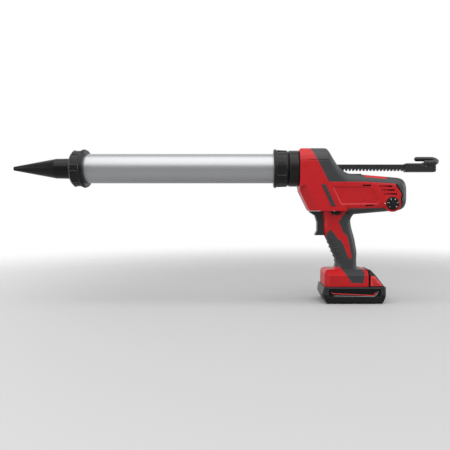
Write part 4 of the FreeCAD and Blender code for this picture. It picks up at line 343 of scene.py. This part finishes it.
# %% Drawn lines
LINE_STRETCH = (0.012, 1.0, 1.0)
drawn_group, drawn_in, drawn_out = new_group(
    "drawn_lines", {"Fineness": 900.0}, {"Height": FLOAT, "Tone": FLOAT}
)
drawn_where = add_node(drawn_group, "ShaderNodeTexCoord").outputs["Object"]
stretch = add_node(
    drawn_group, "ShaderNodeVectorMath", {"operation": "MULTIPLY"}, _0=drawn_where, _1=LINE_STRETCH
)
streak = add_node(
    drawn_group, "ShaderNodeTexNoise",
    Vector=stretch.outputs[0], Scale=drawn_in.outputs["Fineness"], Detail=3.0,
)
drawn_group.links.new(streak.outputs["Fac"], drawn_out.inputs["Height"])
drawn_group.links.new(streak.outputs["Fac"], drawn_out.inputs["Tone"])
print("groups", len(bpy.data.node_groups))

# %% [markdown]
# ## Finishes
# The housing is glass-filled nylon with a fine satin grain, the grip is a softer, duller rubber, the
# collars, the nozzle and the battery are black mouldings, and the tube is drawn aluminium. Each could
# be wired by hand, but they differ only in their values, so one function builds them all: the body
# colour, a cloudy variation of it, a lighter colour on sharp edges that is partly wear and partly a
# painted highlight, a roughness that follows the cloud, and the grain as bump on the softened normal.


# %% Build a finish
def make_finish(
    name, colour, wear_and_highlight_colour, rough, rough_span=0.06, metal=0.0, grain=2200.0, relief=0.02, wear_and_highlight_amount=0.5,
    edge_radius=0.8 * MM, cloud_depth=0.12, drawn=False, specular=0.5,
):
    """A material from the shared groups. The cloud darkens and lightens the colour by cloud_depth."""
    material = bpy.data.materials.new(name)
    material.use_nodes = True
    tree = material.node_tree
    shader = tree.nodes["Principled BSDF"]
    surface = drawn_group if drawn else grain_group
    texture = add_node(tree, "ShaderNodeGroup", {"node_tree": surface}, Fineness=grain)
    edges = add_node(tree, "ShaderNodeGroup", {"node_tree": edge_group}, Radius=edge_radius)
    shade = np.array(linear(*colour))
    darker = (shade * (1 - cloud_depth)).tolist()[:3] + [1.0]
    lighter = (shade * (1 + cloud_depth)).tolist()[:3] + [1.0]
    cloudy = add_node(
        tree, "ShaderNodeMix", {"data_type": "RGBA"}, _0=texture.outputs["Tone"], _6=darker, _7=lighter
    )
    # The lighter edge colour is partly wear and partly a painted highlight where edges catch the light.
    amount = add_node(tree, "ShaderNodeMath", {"operation": "MULTIPLY"}, _0=edges.outputs["Mask"], _1=wear_and_highlight_amount)
    wear_and_highlight_mix = add_node(
        tree, "ShaderNodeMix", {"data_type": "RGBA"},
        _0=amount.outputs[0], _6=cloudy.outputs[2], _7=linear(*wear_and_highlight_colour),
    )
    roughness = add_node(
        tree, "ShaderNodeMapRange",
        Value=texture.outputs["Tone"], To_Min=rough - rough_span, To_Max=rough + rough_span,
    )
    bump = add_node(
        tree, "ShaderNodeBump", Strength=1.0, Distance=relief * MM,
        Height=texture.outputs["Height"], Normal=edges.outputs["Normal"],
    )
    tree.links.new(wear_and_highlight_mix.outputs[2], shader.inputs["Base Color"])
    tree.links.new(roughness.outputs["Result"], shader.inputs["Roughness"])
    tree.links.new(bump.outputs["Normal"], shader.inputs["Normal"])
    shader.inputs["Metallic"].default_value = metal
    shader.inputs["Specular IOR Level"].default_value = specular
    return material


# %% Finishes of the solids
BLACK = dict(cloud_depth=0.16, edge_radius=0.6 * MM)
# On the latch and the black mouldings the edge colour is raised to draw light edge lines: painted highlight.
FINISH_VALUES = {
    "red_plastic": dict(colour=(178, 12, 20), wear_and_highlight_colour=(222, 74, 76), rough=0.40, specular=0.32),
    "red_latch": dict(
        colour=(214, 40, 45), wear_and_highlight_colour=(240, 120, 122), rough=0.34, wear_and_highlight_amount=0.9, edge_radius=1.2 * MM
    ),
    "grey_rubber": dict(
        colour=(46, 47, 49), wear_and_highlight_colour=(88, 89, 91), rough=0.48, grain=1500.0, relief=0.04,
        cloud_depth=0.16, specular=0.42,
    ),
    "black_plastic": dict(
        colour=(10, 10, 11), wear_and_highlight_colour=(100, 100, 102), rough=0.34, specular=0.28, **BLACK
    ),
    "gloss_black": dict(colour=(6, 6, 7), wear_and_highlight_colour=(84, 84, 86), rough=0.24, specular=0.24, **BLACK),
    # A lighter copy of the black moulding: painted light for the parts that catch more light.
    "satin_black_painted_light": dict(
        colour=(30, 30, 32), wear_and_highlight_colour=(104, 104, 106), rough=0.36, specular=0.42, **BLACK
    ),
    "tube_aluminium": dict(
        colour=(168, 169, 171), wear_and_highlight_colour=(198, 199, 201), rough=0.40, metal=1.0, drawn=True,
        grain=900.0, relief=0.001, wear_and_highlight_amount=0.3, cloud_depth=0.05, rough_span=0.03,
    ),
    "black_rack": dict(
        colour=(46, 46, 49), wear_and_highlight_colour=(120, 120, 124), rough=0.42, metal=0.6, grain=900.0,
        relief=0.01, edge_radius=0.4 * MM,
    ),
    "case_aluminium": dict(
        colour=(150, 152, 156), wear_and_highlight_colour=(196, 197, 200), rough=0.46, metal=1.0, grain=700.0,
        relief=0.06,
    ),
    "gear_steel": dict(
        colour=(138, 139, 142), wear_and_highlight_colour=(190, 191, 194), rough=0.32, metal=1.0, grain=1200.0,
        relief=0.006, edge_radius=0.2 * MM,
    ),
    "bush_brass": dict(
        colour=(184, 148, 84), wear_and_highlight_colour=(220, 192, 130), rough=0.36, metal=1.0, grain=1400.0,
        relief=0.01,
    ),
    "magnet_iron": dict(
        colour=(62, 60, 60), wear_and_highlight_colour=(96, 94, 92), rough=0.55, metal=0.3, grain=1000.0, relief=0.04
    ),
    "board_green": dict(
        colour=(24, 82, 48), wear_and_highlight_colour=(88, 128, 80), rough=0.38, grain=1600.0, relief=0.01
    ),
    "cell_wrap": dict(
        colour=(60, 110, 150), wear_and_highlight_colour=(120, 150, 176), rough=0.34, grain=900.0, relief=0.01
    ),
}
finishes = {name: make_finish(name, **values) for name, values in FINISH_VALUES.items()}
print("finishes", ", ".join(finishes))

# %% [markdown]
# ## Dress the solids
# Each solid keeps its shape and takes the finish that the record's slot names. Some of the black
# mouldings differ a little from the rest: the nozzle is glossier, and the rod's grip, the trigger and
# the battery's upper case are painted a lighter grey that stands in for the light they catch. A short
# list of exceptions is easier to read than one finish for every solid.

# %% Assign the finishes
OWN_FINISH = {
    "nozzle": "gloss_black",
    # The grip, the trigger and the upper case take the lighter black: painted light.
    "rod_grip": "satin_black_painted_light",
    "trigger": "satin_black_painted_light",
    "pack_upper_case": "satin_black_painted_light",
}
for node_name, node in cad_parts.items():
    slot_name = node.data.materials[0].name.split(".")[0]
    node.material_slots[0].material = finishes[OWN_FINISH.get(node_name, slot_name)]
print("dressed", len(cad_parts), "nodes")

# %% [markdown]
# ## Print and labels
# The battery has a black label in a fine frame on each side, with a red and a grey line along its
# lower edge. A painted texture would do for one view, but thin plates and stripes catch the light and
# keep their edge in all views. A rounded outline is a circle pulled apart at its four quarters: each
# point is the corner's centre plus a step on the circle. A plate is three such outlines, two for its
# wall and one for the bevel, closed with a flat lid at each end. A stripe is a low, rounded profile
# swept along a line on the battery's side, and a frame is the same profile carried round an outline.

# %% Plates and stripes
PROFILE_POINTS = 12
OUTLINE_POINTS = 48
FRAME_POINTS = 96
SMALLEST_CORNER = 0.1 * MM
TAPER_STEPS, TAPER_TIP = 2, 0.02


def rounded_outline(half_long, half_tall, radius, count):
    """A rounded rectangle: the sign of the circle's cosine and sine says which corner a point is in,
    and the point stands on that corner's own circle."""
    turn = (np.arange(count) + 0.5) * 2 * np.pi / count
    along = np.sign(np.cos(turn)) * (half_long - radius) + radius * np.cos(turn)
    up = np.sign(np.sin(turn)) * (half_tall - radius) + radius * np.sin(turn)
    return np.stack([along, up], axis=-1)


def plate_on_side(centre, half_long, half_tall, radius, face, thick, bevel, side):
    """A plate on the side plane at the distance face from the middle plane: wall, bevel and lids."""
    layers = []
    for inset, lift in ((0, 0), (0, thick - bevel), (bevel, thick)):
        corner = max(radius - inset, SMALLEST_CORNER)
        outline = rounded_outline(half_long - inset, half_tall - inset, corner, OUTLINE_POINTS)
        away = np.full(OUTLINE_POINTS, side * (face + lift))
        layers.append(np.stack([centre[0] + outline[:, 0], away, centre[1] + outline[:, 1]], axis=-1))
    return np.stack(layers), capped_quads(len(layers), OUTLINE_POINTS)


def stripe_on_side(path, width, rise, face, side):
    """A low rounded profile swept along a path of X and Z: the points follow an ellipse across it,
    and at the two ends the profile shrinks on to the path."""
    tangent = np.gradient(path, axis=0)
    tangent /= np.linalg.norm(tangent, axis=1, keepdims=True)
    across = np.stack([-tangent[:, 1], tangent[:, 0]], axis=-1)
    turn = np.linspace(0, 2 * np.pi, PROFILE_POINTS, endpoint=False)
    steps = np.arange(len(path))
    taper = np.clip(np.minimum(steps, steps[::-1]) / TAPER_STEPS, TAPER_TIP, 1)[:, None]
    offset = width / 2 * np.cos(turn)[None, :] * taper
    flat = path[:, None, :] + across[:, None, :] * offset[..., None]
    lift = face + rise * np.sin(turn)[None, :] * taper
    points = np.stack([flat[..., 0], side * lift, flat[..., 1]], axis=-1)
    return points, capped_quads(len(path), PROFILE_POINTS)


def frame_on_side(centre, half_long, half_tall, radius, width, rise, face, side):
    """A closed, low frame: a small ellipse carried round a rounded rectangle. Across the frame the
    outline grows and shrinks by the ellipse's width, and out of the plane it follows its height."""
    turn = np.linspace(0, 2 * np.pi, PROFILE_POINTS, endpoint=False)[:, None]
    grow = width / 2 * np.cos(turn)
    outline = rounded_outline(half_long + grow, half_tall + grow, radius + grow, FRAME_POINTS)
    lift = side * (face + rise * np.sin(turn)) + 0 * outline[..., 0]
    points = np.stack([centre[0] + outline[..., 0], lift, centre[1] + outline[..., 1]], axis=-1)
    return points, grid_quads(PROFILE_POINTS, FRAME_POINTS, close_rows=True, close_columns=True).tolist()


# %% Print finishes
PRINT = dict(grain=900.0, relief=0.004, wear_and_highlight_amount=0.2)
label_black = make_finish(
    "label_black", (10, 10, 11), (60, 60, 62), 0.2, grain=500.0, relief=0.002, cloud_depth=0.1,
    wear_and_highlight_amount=0.2, specular=0.16,
)
print_white = make_finish(
    "print_white", (222, 222, 220), (236, 236, 234), 0.5, cloud_depth=0.06, **PRINT
)
print_red = make_finish("print_red", (224, 34, 40), (232, 80, 80), 0.35, **PRINT)
print_grey = make_finish("print_grey", (150, 154, 154), (180, 182, 182), 0.4, **PRINT)
frame_grey = make_finish("frame_grey", (56, 57, 58), (100, 101, 102), 0.4, **PRINT)
print("materials", len(bpy.data.materials))

# %% Battery label
SIDES = (("left", -1), ("right", 1))
PACK_FACE = 38.0 * MM
LABEL_CENTRE = np.array([-1.0, 19.6]) * MM
LABEL_HALF = np.array([46.0, 7.6]) * MM
LABEL_CORNER, LABEL_THICK, LABEL_BEVEL = 3.0 * MM, 0.4 * MM, 0.2 * MM
LABEL_FRAME_WIDTH, LABEL_FRAME_RISE = 0.7 * MM, 0.45 * MM
RED_LINE_WIDTH, GREY_LINE_WIDTH, LINE_RISE = 1.3 * MM, 0.9 * MM, 0.15 * MM
LINE_POINTS = 80
LINE_HOOK = 3.5 * MM


def label_line(start, bend, end, low, slope, hook, climb):
    """A line that runs down a gentle slope to its lowest height at the bend. Squared terms lift it at
    both ends: a short hook at the start, and a climb from the bend to the end."""
    run = np.linspace(start, end, LINE_POINTS) * MM
    sloping = slope * np.clip((bend * MM - run) / ((bend - start) * MM), 0, 1)
    hooking = hook * np.clip((start * MM + LINE_HOOK - run) / LINE_HOOK, 0, 1) ** 2
    climbing = climb * np.clip((run - bend * MM) / ((end - bend) * MM), 0, 1) ** 2
    return np.stack([run, (low + sloping + hooking + climbing) * MM], axis=-1)


red_path = label_line(start=-41.5, bend=29.0, end=37.2, low=15.1, slope=3.2, hook=2.8, climb=7.8)
grey_path = label_line(start=-38.5, bend=31.0, end=40.5, low=13.3, slope=0.9, hook=0.0, climb=10.6)
for side_name, side in SIDES:
    plate = plate_on_side(
        LABEL_CENTRE, *LABEL_HALF, LABEL_CORNER, PACK_FACE, LABEL_THICK, LABEL_BEVEL, side
    )
    place_piece(f"battery_label_{side_name}", *plate, label_black, "battery", "black_plastic", smooth=False)
    frame_line = frame_on_side(
        LABEL_CENTRE, *LABEL_HALF, LABEL_CORNER, LABEL_FRAME_WIDTH, LABEL_FRAME_RISE, PACK_FACE, side
    )
    place_piece(f"label_frame_{side_name}", *frame_line, frame_grey, "battery", "black_plastic")
    red_line = stripe_on_side(red_path, RED_LINE_WIDTH, LINE_RISE, PACK_FACE + LABEL_THICK, side)
    place_piece(f"label_red_line_{side_name}", *red_line, print_red, "battery", "red_plastic")
    grey_line = stripe_on_side(grey_path, GREY_LINE_WIDTH, LINE_RISE, PACK_FACE + LABEL_THICK, side)
    place_piece(f"label_grey_line_{side_name}", *grey_line, print_grey, "battery", "black_plastic")

# %% [markdown]
# ## Speed dial
# The dial carries the numbers 1 to 6 in a ring, each one standing upright towards the rim, and a low
# finger bar across its middle. The housing's boss has a small pointer beside it. Numbers could be
# drawn as curves by hand, but the built-in letter outline is ready to use. It is turned into a mesh,
# and its points are then moved by plain array sums.


# %% Numbers on the dial
def letter_arrays(text, height, thick):
    """The points and faces of a short text, centred on zero, with its height along the second axis."""
    curve = bpy.data.curves.new("letters", "FONT")
    curve.body = text
    curve.size = height
    curve.extrude = thick / 2
    curve.align_x = "CENTER"
    curve.align_y = "CENTER"
    holder = bpy.data.objects.new("letters", curve)
    bpy.context.scene.collection.objects.link(holder)
    outline = holder.evaluated_get(bpy.context.evaluated_depsgraph_get())
    mesh = bpy.data.meshes.new_from_object(outline)
    points = np.empty(len(mesh.vertices) * 3)
    mesh.vertices.foreach_get("co", points)
    faces = [list(polygon.vertices) for polygon in mesh.polygons]
    bpy.data.objects.remove(holder)
    bpy.data.meshes.remove(mesh)
    bpy.data.curves.remove(curve)
    return points.reshape(-1, 3), faces


DIAL_CENTRE = np.array([66.0, -35.8, 174.5]) * MM
NUMBERS = "123456"
NUMBER_SWEEP = 135
NUMBER_RING, NUMBER_HEIGHT, NUMBER_THICK = 8.0 * MM, 4.4 * MM, 0.3 * MM
number_points, number_faces = [], []
for value, degrees in zip(NUMBERS, np.linspace(NUMBER_SWEEP, -NUMBER_SWEEP, len(NUMBERS))):
    letters, faces = letter_arrays(value, NUMBER_HEIGHT, NUMBER_THICK)
    angle = math.radians(90 + degrees)
    outward = np.array([math.cos(angle), 0, math.sin(angle)])
    aside = np.array([math.sin(angle), 0, -math.cos(angle)])
    placed = DIAL_CENTRE + outward * (NUMBER_RING + letters[:, 1:2]) + aside * letters[:, 0:1]
    placed[:, 1] -= letters[:, 2]
    start = sum(len(block) for block in number_points)
    number_faces += [[corner + start for corner in face] for face in faces]
    number_points.append(placed)
number_points = np.concatenate(number_points)
place_piece("dial_numbers", number_points, number_faces, print_white, "dial", "black_plastic", smooth=False)

# %% Finger bar
BAR_ROWS, BAR_COLUMNS = 24, 20
BAR_HALF_WIDE, BAR_HALF_DEEP, BAR_HALF_LONG = 1.5 * MM, 1.3 * MM, 5.2 * MM
BAR_BLUNT, BAR_TIP = 6, 0.001

# The bar is an ellipse carried along Z. It keeps its width for most of the way and closes at the ends
# as the root of one less a high power of the distance from the middle.
bar_turn = np.linspace(0, 2 * np.pi, BAR_COLUMNS, endpoint=False)[None, :]
bar_along = np.linspace(-1, 1, BAR_ROWS)[:, None]
bar_shrink = np.sqrt(np.clip(1 - np.abs(bar_along) ** BAR_BLUNT, BAR_TIP, 1))
bar_points = np.stack(
    [
        DIAL_CENTRE[0] + BAR_HALF_WIDE * np.cos(bar_turn) * bar_shrink,
        DIAL_CENTRE[1] + BAR_HALF_DEEP * np.sin(bar_turn) * bar_shrink,
        DIAL_CENTRE[2] + BAR_HALF_LONG * bar_along + 0 * bar_turn,
    ],
    axis=-1,
)
bar_faces = capped_quads(BAR_ROWS, BAR_COLUMNS)
place_piece("dial_bar", bar_points, bar_faces, finishes["black_plastic"], "dial", "black_plastic")


# %% Pointer on the boss
def raised_polygon(corners, face, layers, side):
    """Copies of a polygon, each shrunk about its middle by a share and lifted off the side plane at
    the distance face, joined by walls and closed with a lid at each end."""
    middle = corners.mean(axis=0)
    rings = []
    for share, lift in layers:
        corner = middle + (corners - middle) * share
        away = np.full(len(corner), side * (face + lift))
        rings.append(np.stack([corner[:, 0], away, corner[:, 1]], axis=-1))
    return np.stack(rings), capped_quads(len(layers), len(corners))


BOSS_FACE = 33.6 * MM
POINTER_CORNERS = np.array([[-14.2, 1.3], [-14.2, -1.3], [-12.0, 0.0]]) * MM
POINTER_LAYERS = ((1.0, -0.1 * MM), (1.0, 0.25 * MM), (0.7, 0.4 * MM))
pointer = raised_polygon(DIAL_CENTRE[[0, 2]] + POINTER_CORNERS, BOSS_FACE, POINTER_LAYERS, -1)
place_piece("dial_pointer", *pointer, print_white, "tool_body", "red_plastic", smooth=False)

# %% [markdown]
# ## Latch pads
# The finger presses each latch on a raised pad that follows the latch's own outline, a little inside
# its rim. A bevel on the latch itself would change the solid, so the pad is a piece of its own: the
# pointer's kind of polygon in three layers, two for the wall and a smaller one for the bevel.

# %% Pads on the latches
LATCH_FACE = 35.9 * MM
PAD_CORNERS = np.array([[30.4, 33.0], [42.4, 33.0], [33.0, 44.6], [30.4, 44.6]]) * MM
PAD_LAYERS = ((1.0, -0.1 * MM), (1.0, 0.2 * MM), (0.84, 0.7 * MM))
# The pad's light edge colour is partly wear and partly a painted highlight on its bevel.
latch_pad = make_finish("latch_pad", (184, 18, 25), (236, 104, 106), 0.36, wear_and_highlight_amount=0.8)
for side_name, side in SIDES:
    pad = raised_polygon(PAD_CORNERS, LATCH_FACE, PAD_LAYERS, side)
    place_piece(f"latch_pad_{side_name}", *pad, latch_pad, f"{side_name}_latch", "red_latch", smooth=False)

# %% [markdown]
# ## Vent louvres
# Behind each slot at the rear the housing has a sloping fin: flush at its front end and falling away
# towards the rear, so that only the last part of the slot is open and dark. A plain plate would show
# its square end, so the fin is a blunt profile that narrows at the front, as the slot does.

# %% Fins in the vents
VENT_COUNT = 3
VENT_START, VENT_STEP, VENT_LENGTH = 42.5 * MM, 4.0 * MM, 23.5 * MM
VENT_TOP, VENT_PITCH, VENT_HEIGHT = 204.5 * MM, 6.8 * MM, 2.8 * MM
FIN_POINTS = 16
FIN_FACE, FIN_FALL, FIN_GAP = 32.6 * MM, 4.0 * MM, 0.06 * MM
FIN_HALF_TALL, FIN_HALF_THICK = VENT_HEIGHT / 2 - FIN_GAP, 0.9 * MM
FIN_SHARE, FIN_INSET = 0.8, 0.3
FIN_CURVE, FIN_BLUNT = 1.5, 0.5
FIN_NOSE, FIN_WIDEN = 0.35, 3


def vent_fin(low_x, middle_z, side):
    """A blunt profile carried towards the rear. Its depth falls with a power of the way along, its
    height grows from the nose to the full slot, and the root of the cosine squares its edges."""
    ahead = np.linspace(0, 1, FIN_POINTS)[:, None]
    turn = (np.arange(FIN_POINTS) + 0.5)[None, :] * 2 * np.pi / FIN_POINTS
    depth = FIN_FACE - FIN_FALL * ahead ** FIN_CURVE
    square = np.sign(np.cos(turn)) * np.abs(np.cos(turn)) ** FIN_BLUNT
    x = low_x + VENT_LENGTH * FIN_SHARE * ahead + 0 * turn
    y = side * (depth - FIN_HALF_THICK + FIN_HALF_THICK * np.sin(turn))
    z = middle_z + FIN_HALF_TALL * square * np.minimum(1, FIN_NOSE + FIN_WIDEN * ahead)
    return np.stack([x, y, z], axis=-1), capped_quads(FIN_POINTS, FIN_POINTS)


for side_name, side in SIDES:
    for row in range(VENT_COUNT):
        low_x = VENT_START + VENT_STEP * row + FIN_HALF_TALL * FIN_INSET
        fin = vent_fin(low_x, VENT_TOP - VENT_PITCH * row, side)
        name = f"vent_fin_{side_name}_{row + 1}"
        place_piece(name, *fin, finishes["red_plastic"], "tool_body", "red_plastic")

# %% [markdown]
# ## Slits and rear seam
# Two narrow slits beside the side panel have a black strip on their floor. At the rear the red shell
# steps down to the rubber, and the step throws a dark shadow: a low black strip is laid there as painted
# shadow. The strip has to follow the barrel's side, which is a rounded rectangle that shrinks over the
# rear dome. Measuring the mesh would give it too, but the formula is short and exact.

# %% Strips in the slits
SLIT_FLOOR = 30.7 * MM
SLIT_CENTRES = np.array([[20.9, 206.06], [25.76, 171.1]]) * MM
SLIT_HALF = np.array([7.1, 1.0]) * MM
SLIT_CORNER, STRIP_THICK, STRIP_BEVEL = 0.9 * MM, 1.3 * MM, 0.3 * MM
for side_name, side in SIDES:
    for row, centre in enumerate(SLIT_CENTRES):
        strip = plate_on_side(centre, *SLIT_HALF, SLIT_CORNER, SLIT_FLOOR, STRIP_THICK, STRIP_BEVEL, side)
        name = f"slit_strip_{side_name}_{row + 1}"
        place_piece(name, *strip, label_black, "tool_body", "black_plastic", smooth=False)

# %% Painted shadow strip in the rear seam
BARREL_HALF, BARREL_MIDDLE, BARREL_RISE, BARREL_CORNER = np.array([33.0, 191.5, 29.5, 18.0]) * MM
DOME_START, DOME_LENGTH = 74.0 * MM, 21.0 * MM
DOME_AHEAD, DOME_KEEP = [0, 0.476, 0.762, 0.93, 1], [1, 0.94, 0.82, 0.62, 0.4]


def barrel_side(along, up):
    """The distance of the barrel's side from the middle plane. Over the dome the whole section is
    scaled by one share. On its flat the side is the half width, and above or below the flat it falls
    away on the circle of the corner."""
    keep = np.interp((along - DOME_START) / DOME_LENGTH, DOME_AHEAD, DOME_KEEP)
    corner = keep * BARREL_CORNER
    flat = keep * (BARREL_RISE - BARREL_CORNER)
    over = np.clip(np.abs(up - BARREL_MIDDLE) - flat, 0, corner)
    return keep * (BARREL_HALF - BARREL_CORNER) + np.sqrt(corner ** 2 - over ** 2)


SEAM_UP = np.array([171.6, 174.1, 182.1, 191.1, 208.6]) * MM
SEAM_ALONG = np.array([79.2, 80.6, 79.6, 81.9, 70.6]) * MM
SEAM_POINTS = 60
SEAM_BACK, SEAM_LIFT = 1.5 * MM, 0.3 * MM
SEAM_WIDTH, SEAM_RISE = 3.0 * MM, 0.35 * MM
seam_up = np.linspace(SEAM_UP[0], SEAM_UP[-1], SEAM_POINTS)
seam_along = np.interp(seam_up, SEAM_UP, SEAM_ALONG) + SEAM_BACK
seam_path = np.stack([seam_along, seam_up], axis=-1)
seam_face = barrel_side(seam_along, seam_up)[:, None] + SEAM_LIFT
for side_name, side in SIDES:
    # A black strip where the step throws its shadow: painted shadow.
    shadow_strip = stripe_on_side(seam_path, SEAM_WIDTH, SEAM_RISE, seam_face, side)
    place_piece(f"rear_seam_shadow_{side_name}", *shadow_strip, label_black, "tool_body", "black_plastic")

# %% [markdown]
# ## Grip frames
# The screw cap and the rear collar have six sunk grip panels each, and their edges catch a thin line of
# light. A fine raised grey line round every panel stands in for it: the grey is a painted highlight. A
# curve with a bevel could be wrapped on each ring, but the label's flat frame is at hand, so it is bent
# round the tube's axis: the height becomes an angle, and the distance from the plane becomes a
# distance from the axis.

# %% Painted highlight frames round the grip panels
TUBE_AXIS_HEIGHT = 238.0 * MM
PANEL_COUNT, PANEL_SPAN, PANEL_CORNER = 6, 41.0, 1.0 * MM
GRIP_LINE_WIDTH, GRIP_LINE_RISE = 0.6 * MM, 0.3 * MM
# The grey of these frames is a painted highlight on the panel edges.
grip_edge_highlight = make_finish("grip_edge_highlight", (96, 97, 98), (130, 131, 132), 0.4, **PRINT)


def bent_frame(x_low, x_high, radius, first_turn):
    """A closed frame round an axis along X. The angle starts at the top and grows towards the left
    side."""
    half_long = (x_high - x_low) / 2
    half_tall = radius * math.radians(PANEL_SPAN) / 2
    flat, faces = frame_on_side(
        (x_low + half_long, 0), half_long, half_tall, PANEL_CORNER, GRIP_LINE_WIDTH, GRIP_LINE_RISE, radius, 1
    )
    along, out, up = np.moveaxis(flat, -1, 0)
    angle = math.radians(first_turn + PANEL_SPAN / 2) + up / radius
    points = np.stack([along, -out * np.sin(angle), TUBE_AXIS_HEIGHT + out * np.cos(angle)], axis=-1)
    return points, faces


def grip_frames(name, body, x_low, x_high, radius, turn):
    """The frames of all the panels of one ring, as one piece."""
    points, faces = [], []
    for row in range(PANEL_COUNT):
        ring_points, ring_faces = bent_frame(x_low, x_high, radius, turn + 360 * row / PANEL_COUNT)
        start = row * ring_points.size // 3
        faces += (np.array(ring_faces) + start).tolist()
        points.append(ring_points.reshape(-1, 3))
    place_piece(name, np.concatenate(points), faces, grip_edge_highlight, body, "black_plastic")


COLLAR_INSETS, COLLAR_RADIUS, COLLAR_TURN = (6.1 * MM, 3.2 * MM), 32.6 * MM, 14.5
CAP_INSETS, CAP_RADIUS, CAP_TURN = (3.4 * MM, 8.9 * MM), 32.8 * MM, 40.5
for name, body, node_name, (ahead, behind), radius, turn_degrees in (
    ("collar_highlight_frames", "carriage", "rear_collar", COLLAR_INSETS, COLLAR_RADIUS, COLLAR_TURN),
    ("cap_highlight_frames", "cap", "front_cap", CAP_INSETS, CAP_RADIUS, CAP_TURN),
):
    low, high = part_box(node_name)
    grip_frames(name, body, low[0] + ahead, high[0] - behind, radius, turn_degrees)

# %% [markdown]
# ## Coil springs
# A coil spring stands behind the trigger, and one behind each latch. Each solid spring is hidden and
# made again as a wire carried along a helix. The boxes of the solids say where the coils stand.

# %% Coil springs
SPRING_TURNS, TURN_STEPS, WIRE_POINTS = 5, 40, 10


def coil_wire(fixed_end, axis, ring, wire, length):
    """A round wire carried along a helix: its centre goes round the axis at the ring's radius while
    it climbs, and the wire's own circle lies in the plane of the axis and the outward direction."""
    climb = np.linspace(0, 1, TURN_STEPS * SPRING_TURNS)[:, None, None]
    round_wire = np.linspace(0, 2 * np.pi, WIRE_POINTS, endpoint=False)[None, :, None]
    angle = 2 * np.pi * SPRING_TURNS * climb
    upward = np.array([0.0, 0.0, 1.0])
    outward = np.cos(angle) * upward + np.sin(angle) * np.cross(axis, upward)
    along = wire + (length - 2 * wire) * climb + wire * np.sin(round_wire)
    points = fixed_end + outward * (ring + wire * np.cos(round_wire)) + along * axis
    return points, capped_quads(TURN_STEPS * SPRING_TURNS, WIRE_POINTS)


def add_spring(name, node, body, low, high, axis, ring, wire):
    """A spring between two corners of a box. Its fixed end is the side of the box that the axis
    leaves."""
    axis = np.array(axis, float)
    length = float(np.abs(axis) @ (high - low))
    fixed_end = (low + high) / 2 - axis * length / 2
    wire_mesh = coil_wire(fixed_end, axis, ring, wire, length)
    coil = place_piece(name, *wire_mesh, finishes["gear_steel"], body, "gear_steel")
    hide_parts(node)
    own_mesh(coil)


# %% Trigger spring
TRIGGER_RING, TRIGGER_WIRE, TRIGGER_TRAVEL = 5.0 * MM, 0.5 * MM, 7.1 * MM
low, high = (np.array(corner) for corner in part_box("trigger_spring"))
add_spring(
    "trigger_coil", "trigger_spring", "tool_body", low, high, (-1, 0, 0),
    TRIGGER_RING, TRIGGER_WIRE,
)

# %% Latch springs
LATCH_RING, LATCH_WIRE, LATCH_TRAVEL = 3.0 * MM, 0.4 * MM, 2.6 * MM
LATCH_SPRING_INNER = 20.0 * MM
low, high = (np.array(corner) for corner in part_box("latch_springs"))
for side_name, side in SIDES:
    near, far = sorted((side * LATCH_SPRING_INNER, side * high[1]))
    add_spring(
        f"latch_coil_{side_name}", "latch_springs", "battery",
        np.array([low[0], near, low[2]]), np.array([high[0], far, high[2]]), (0, side, 0),
        LATCH_RING, LATCH_WIRE,
    )
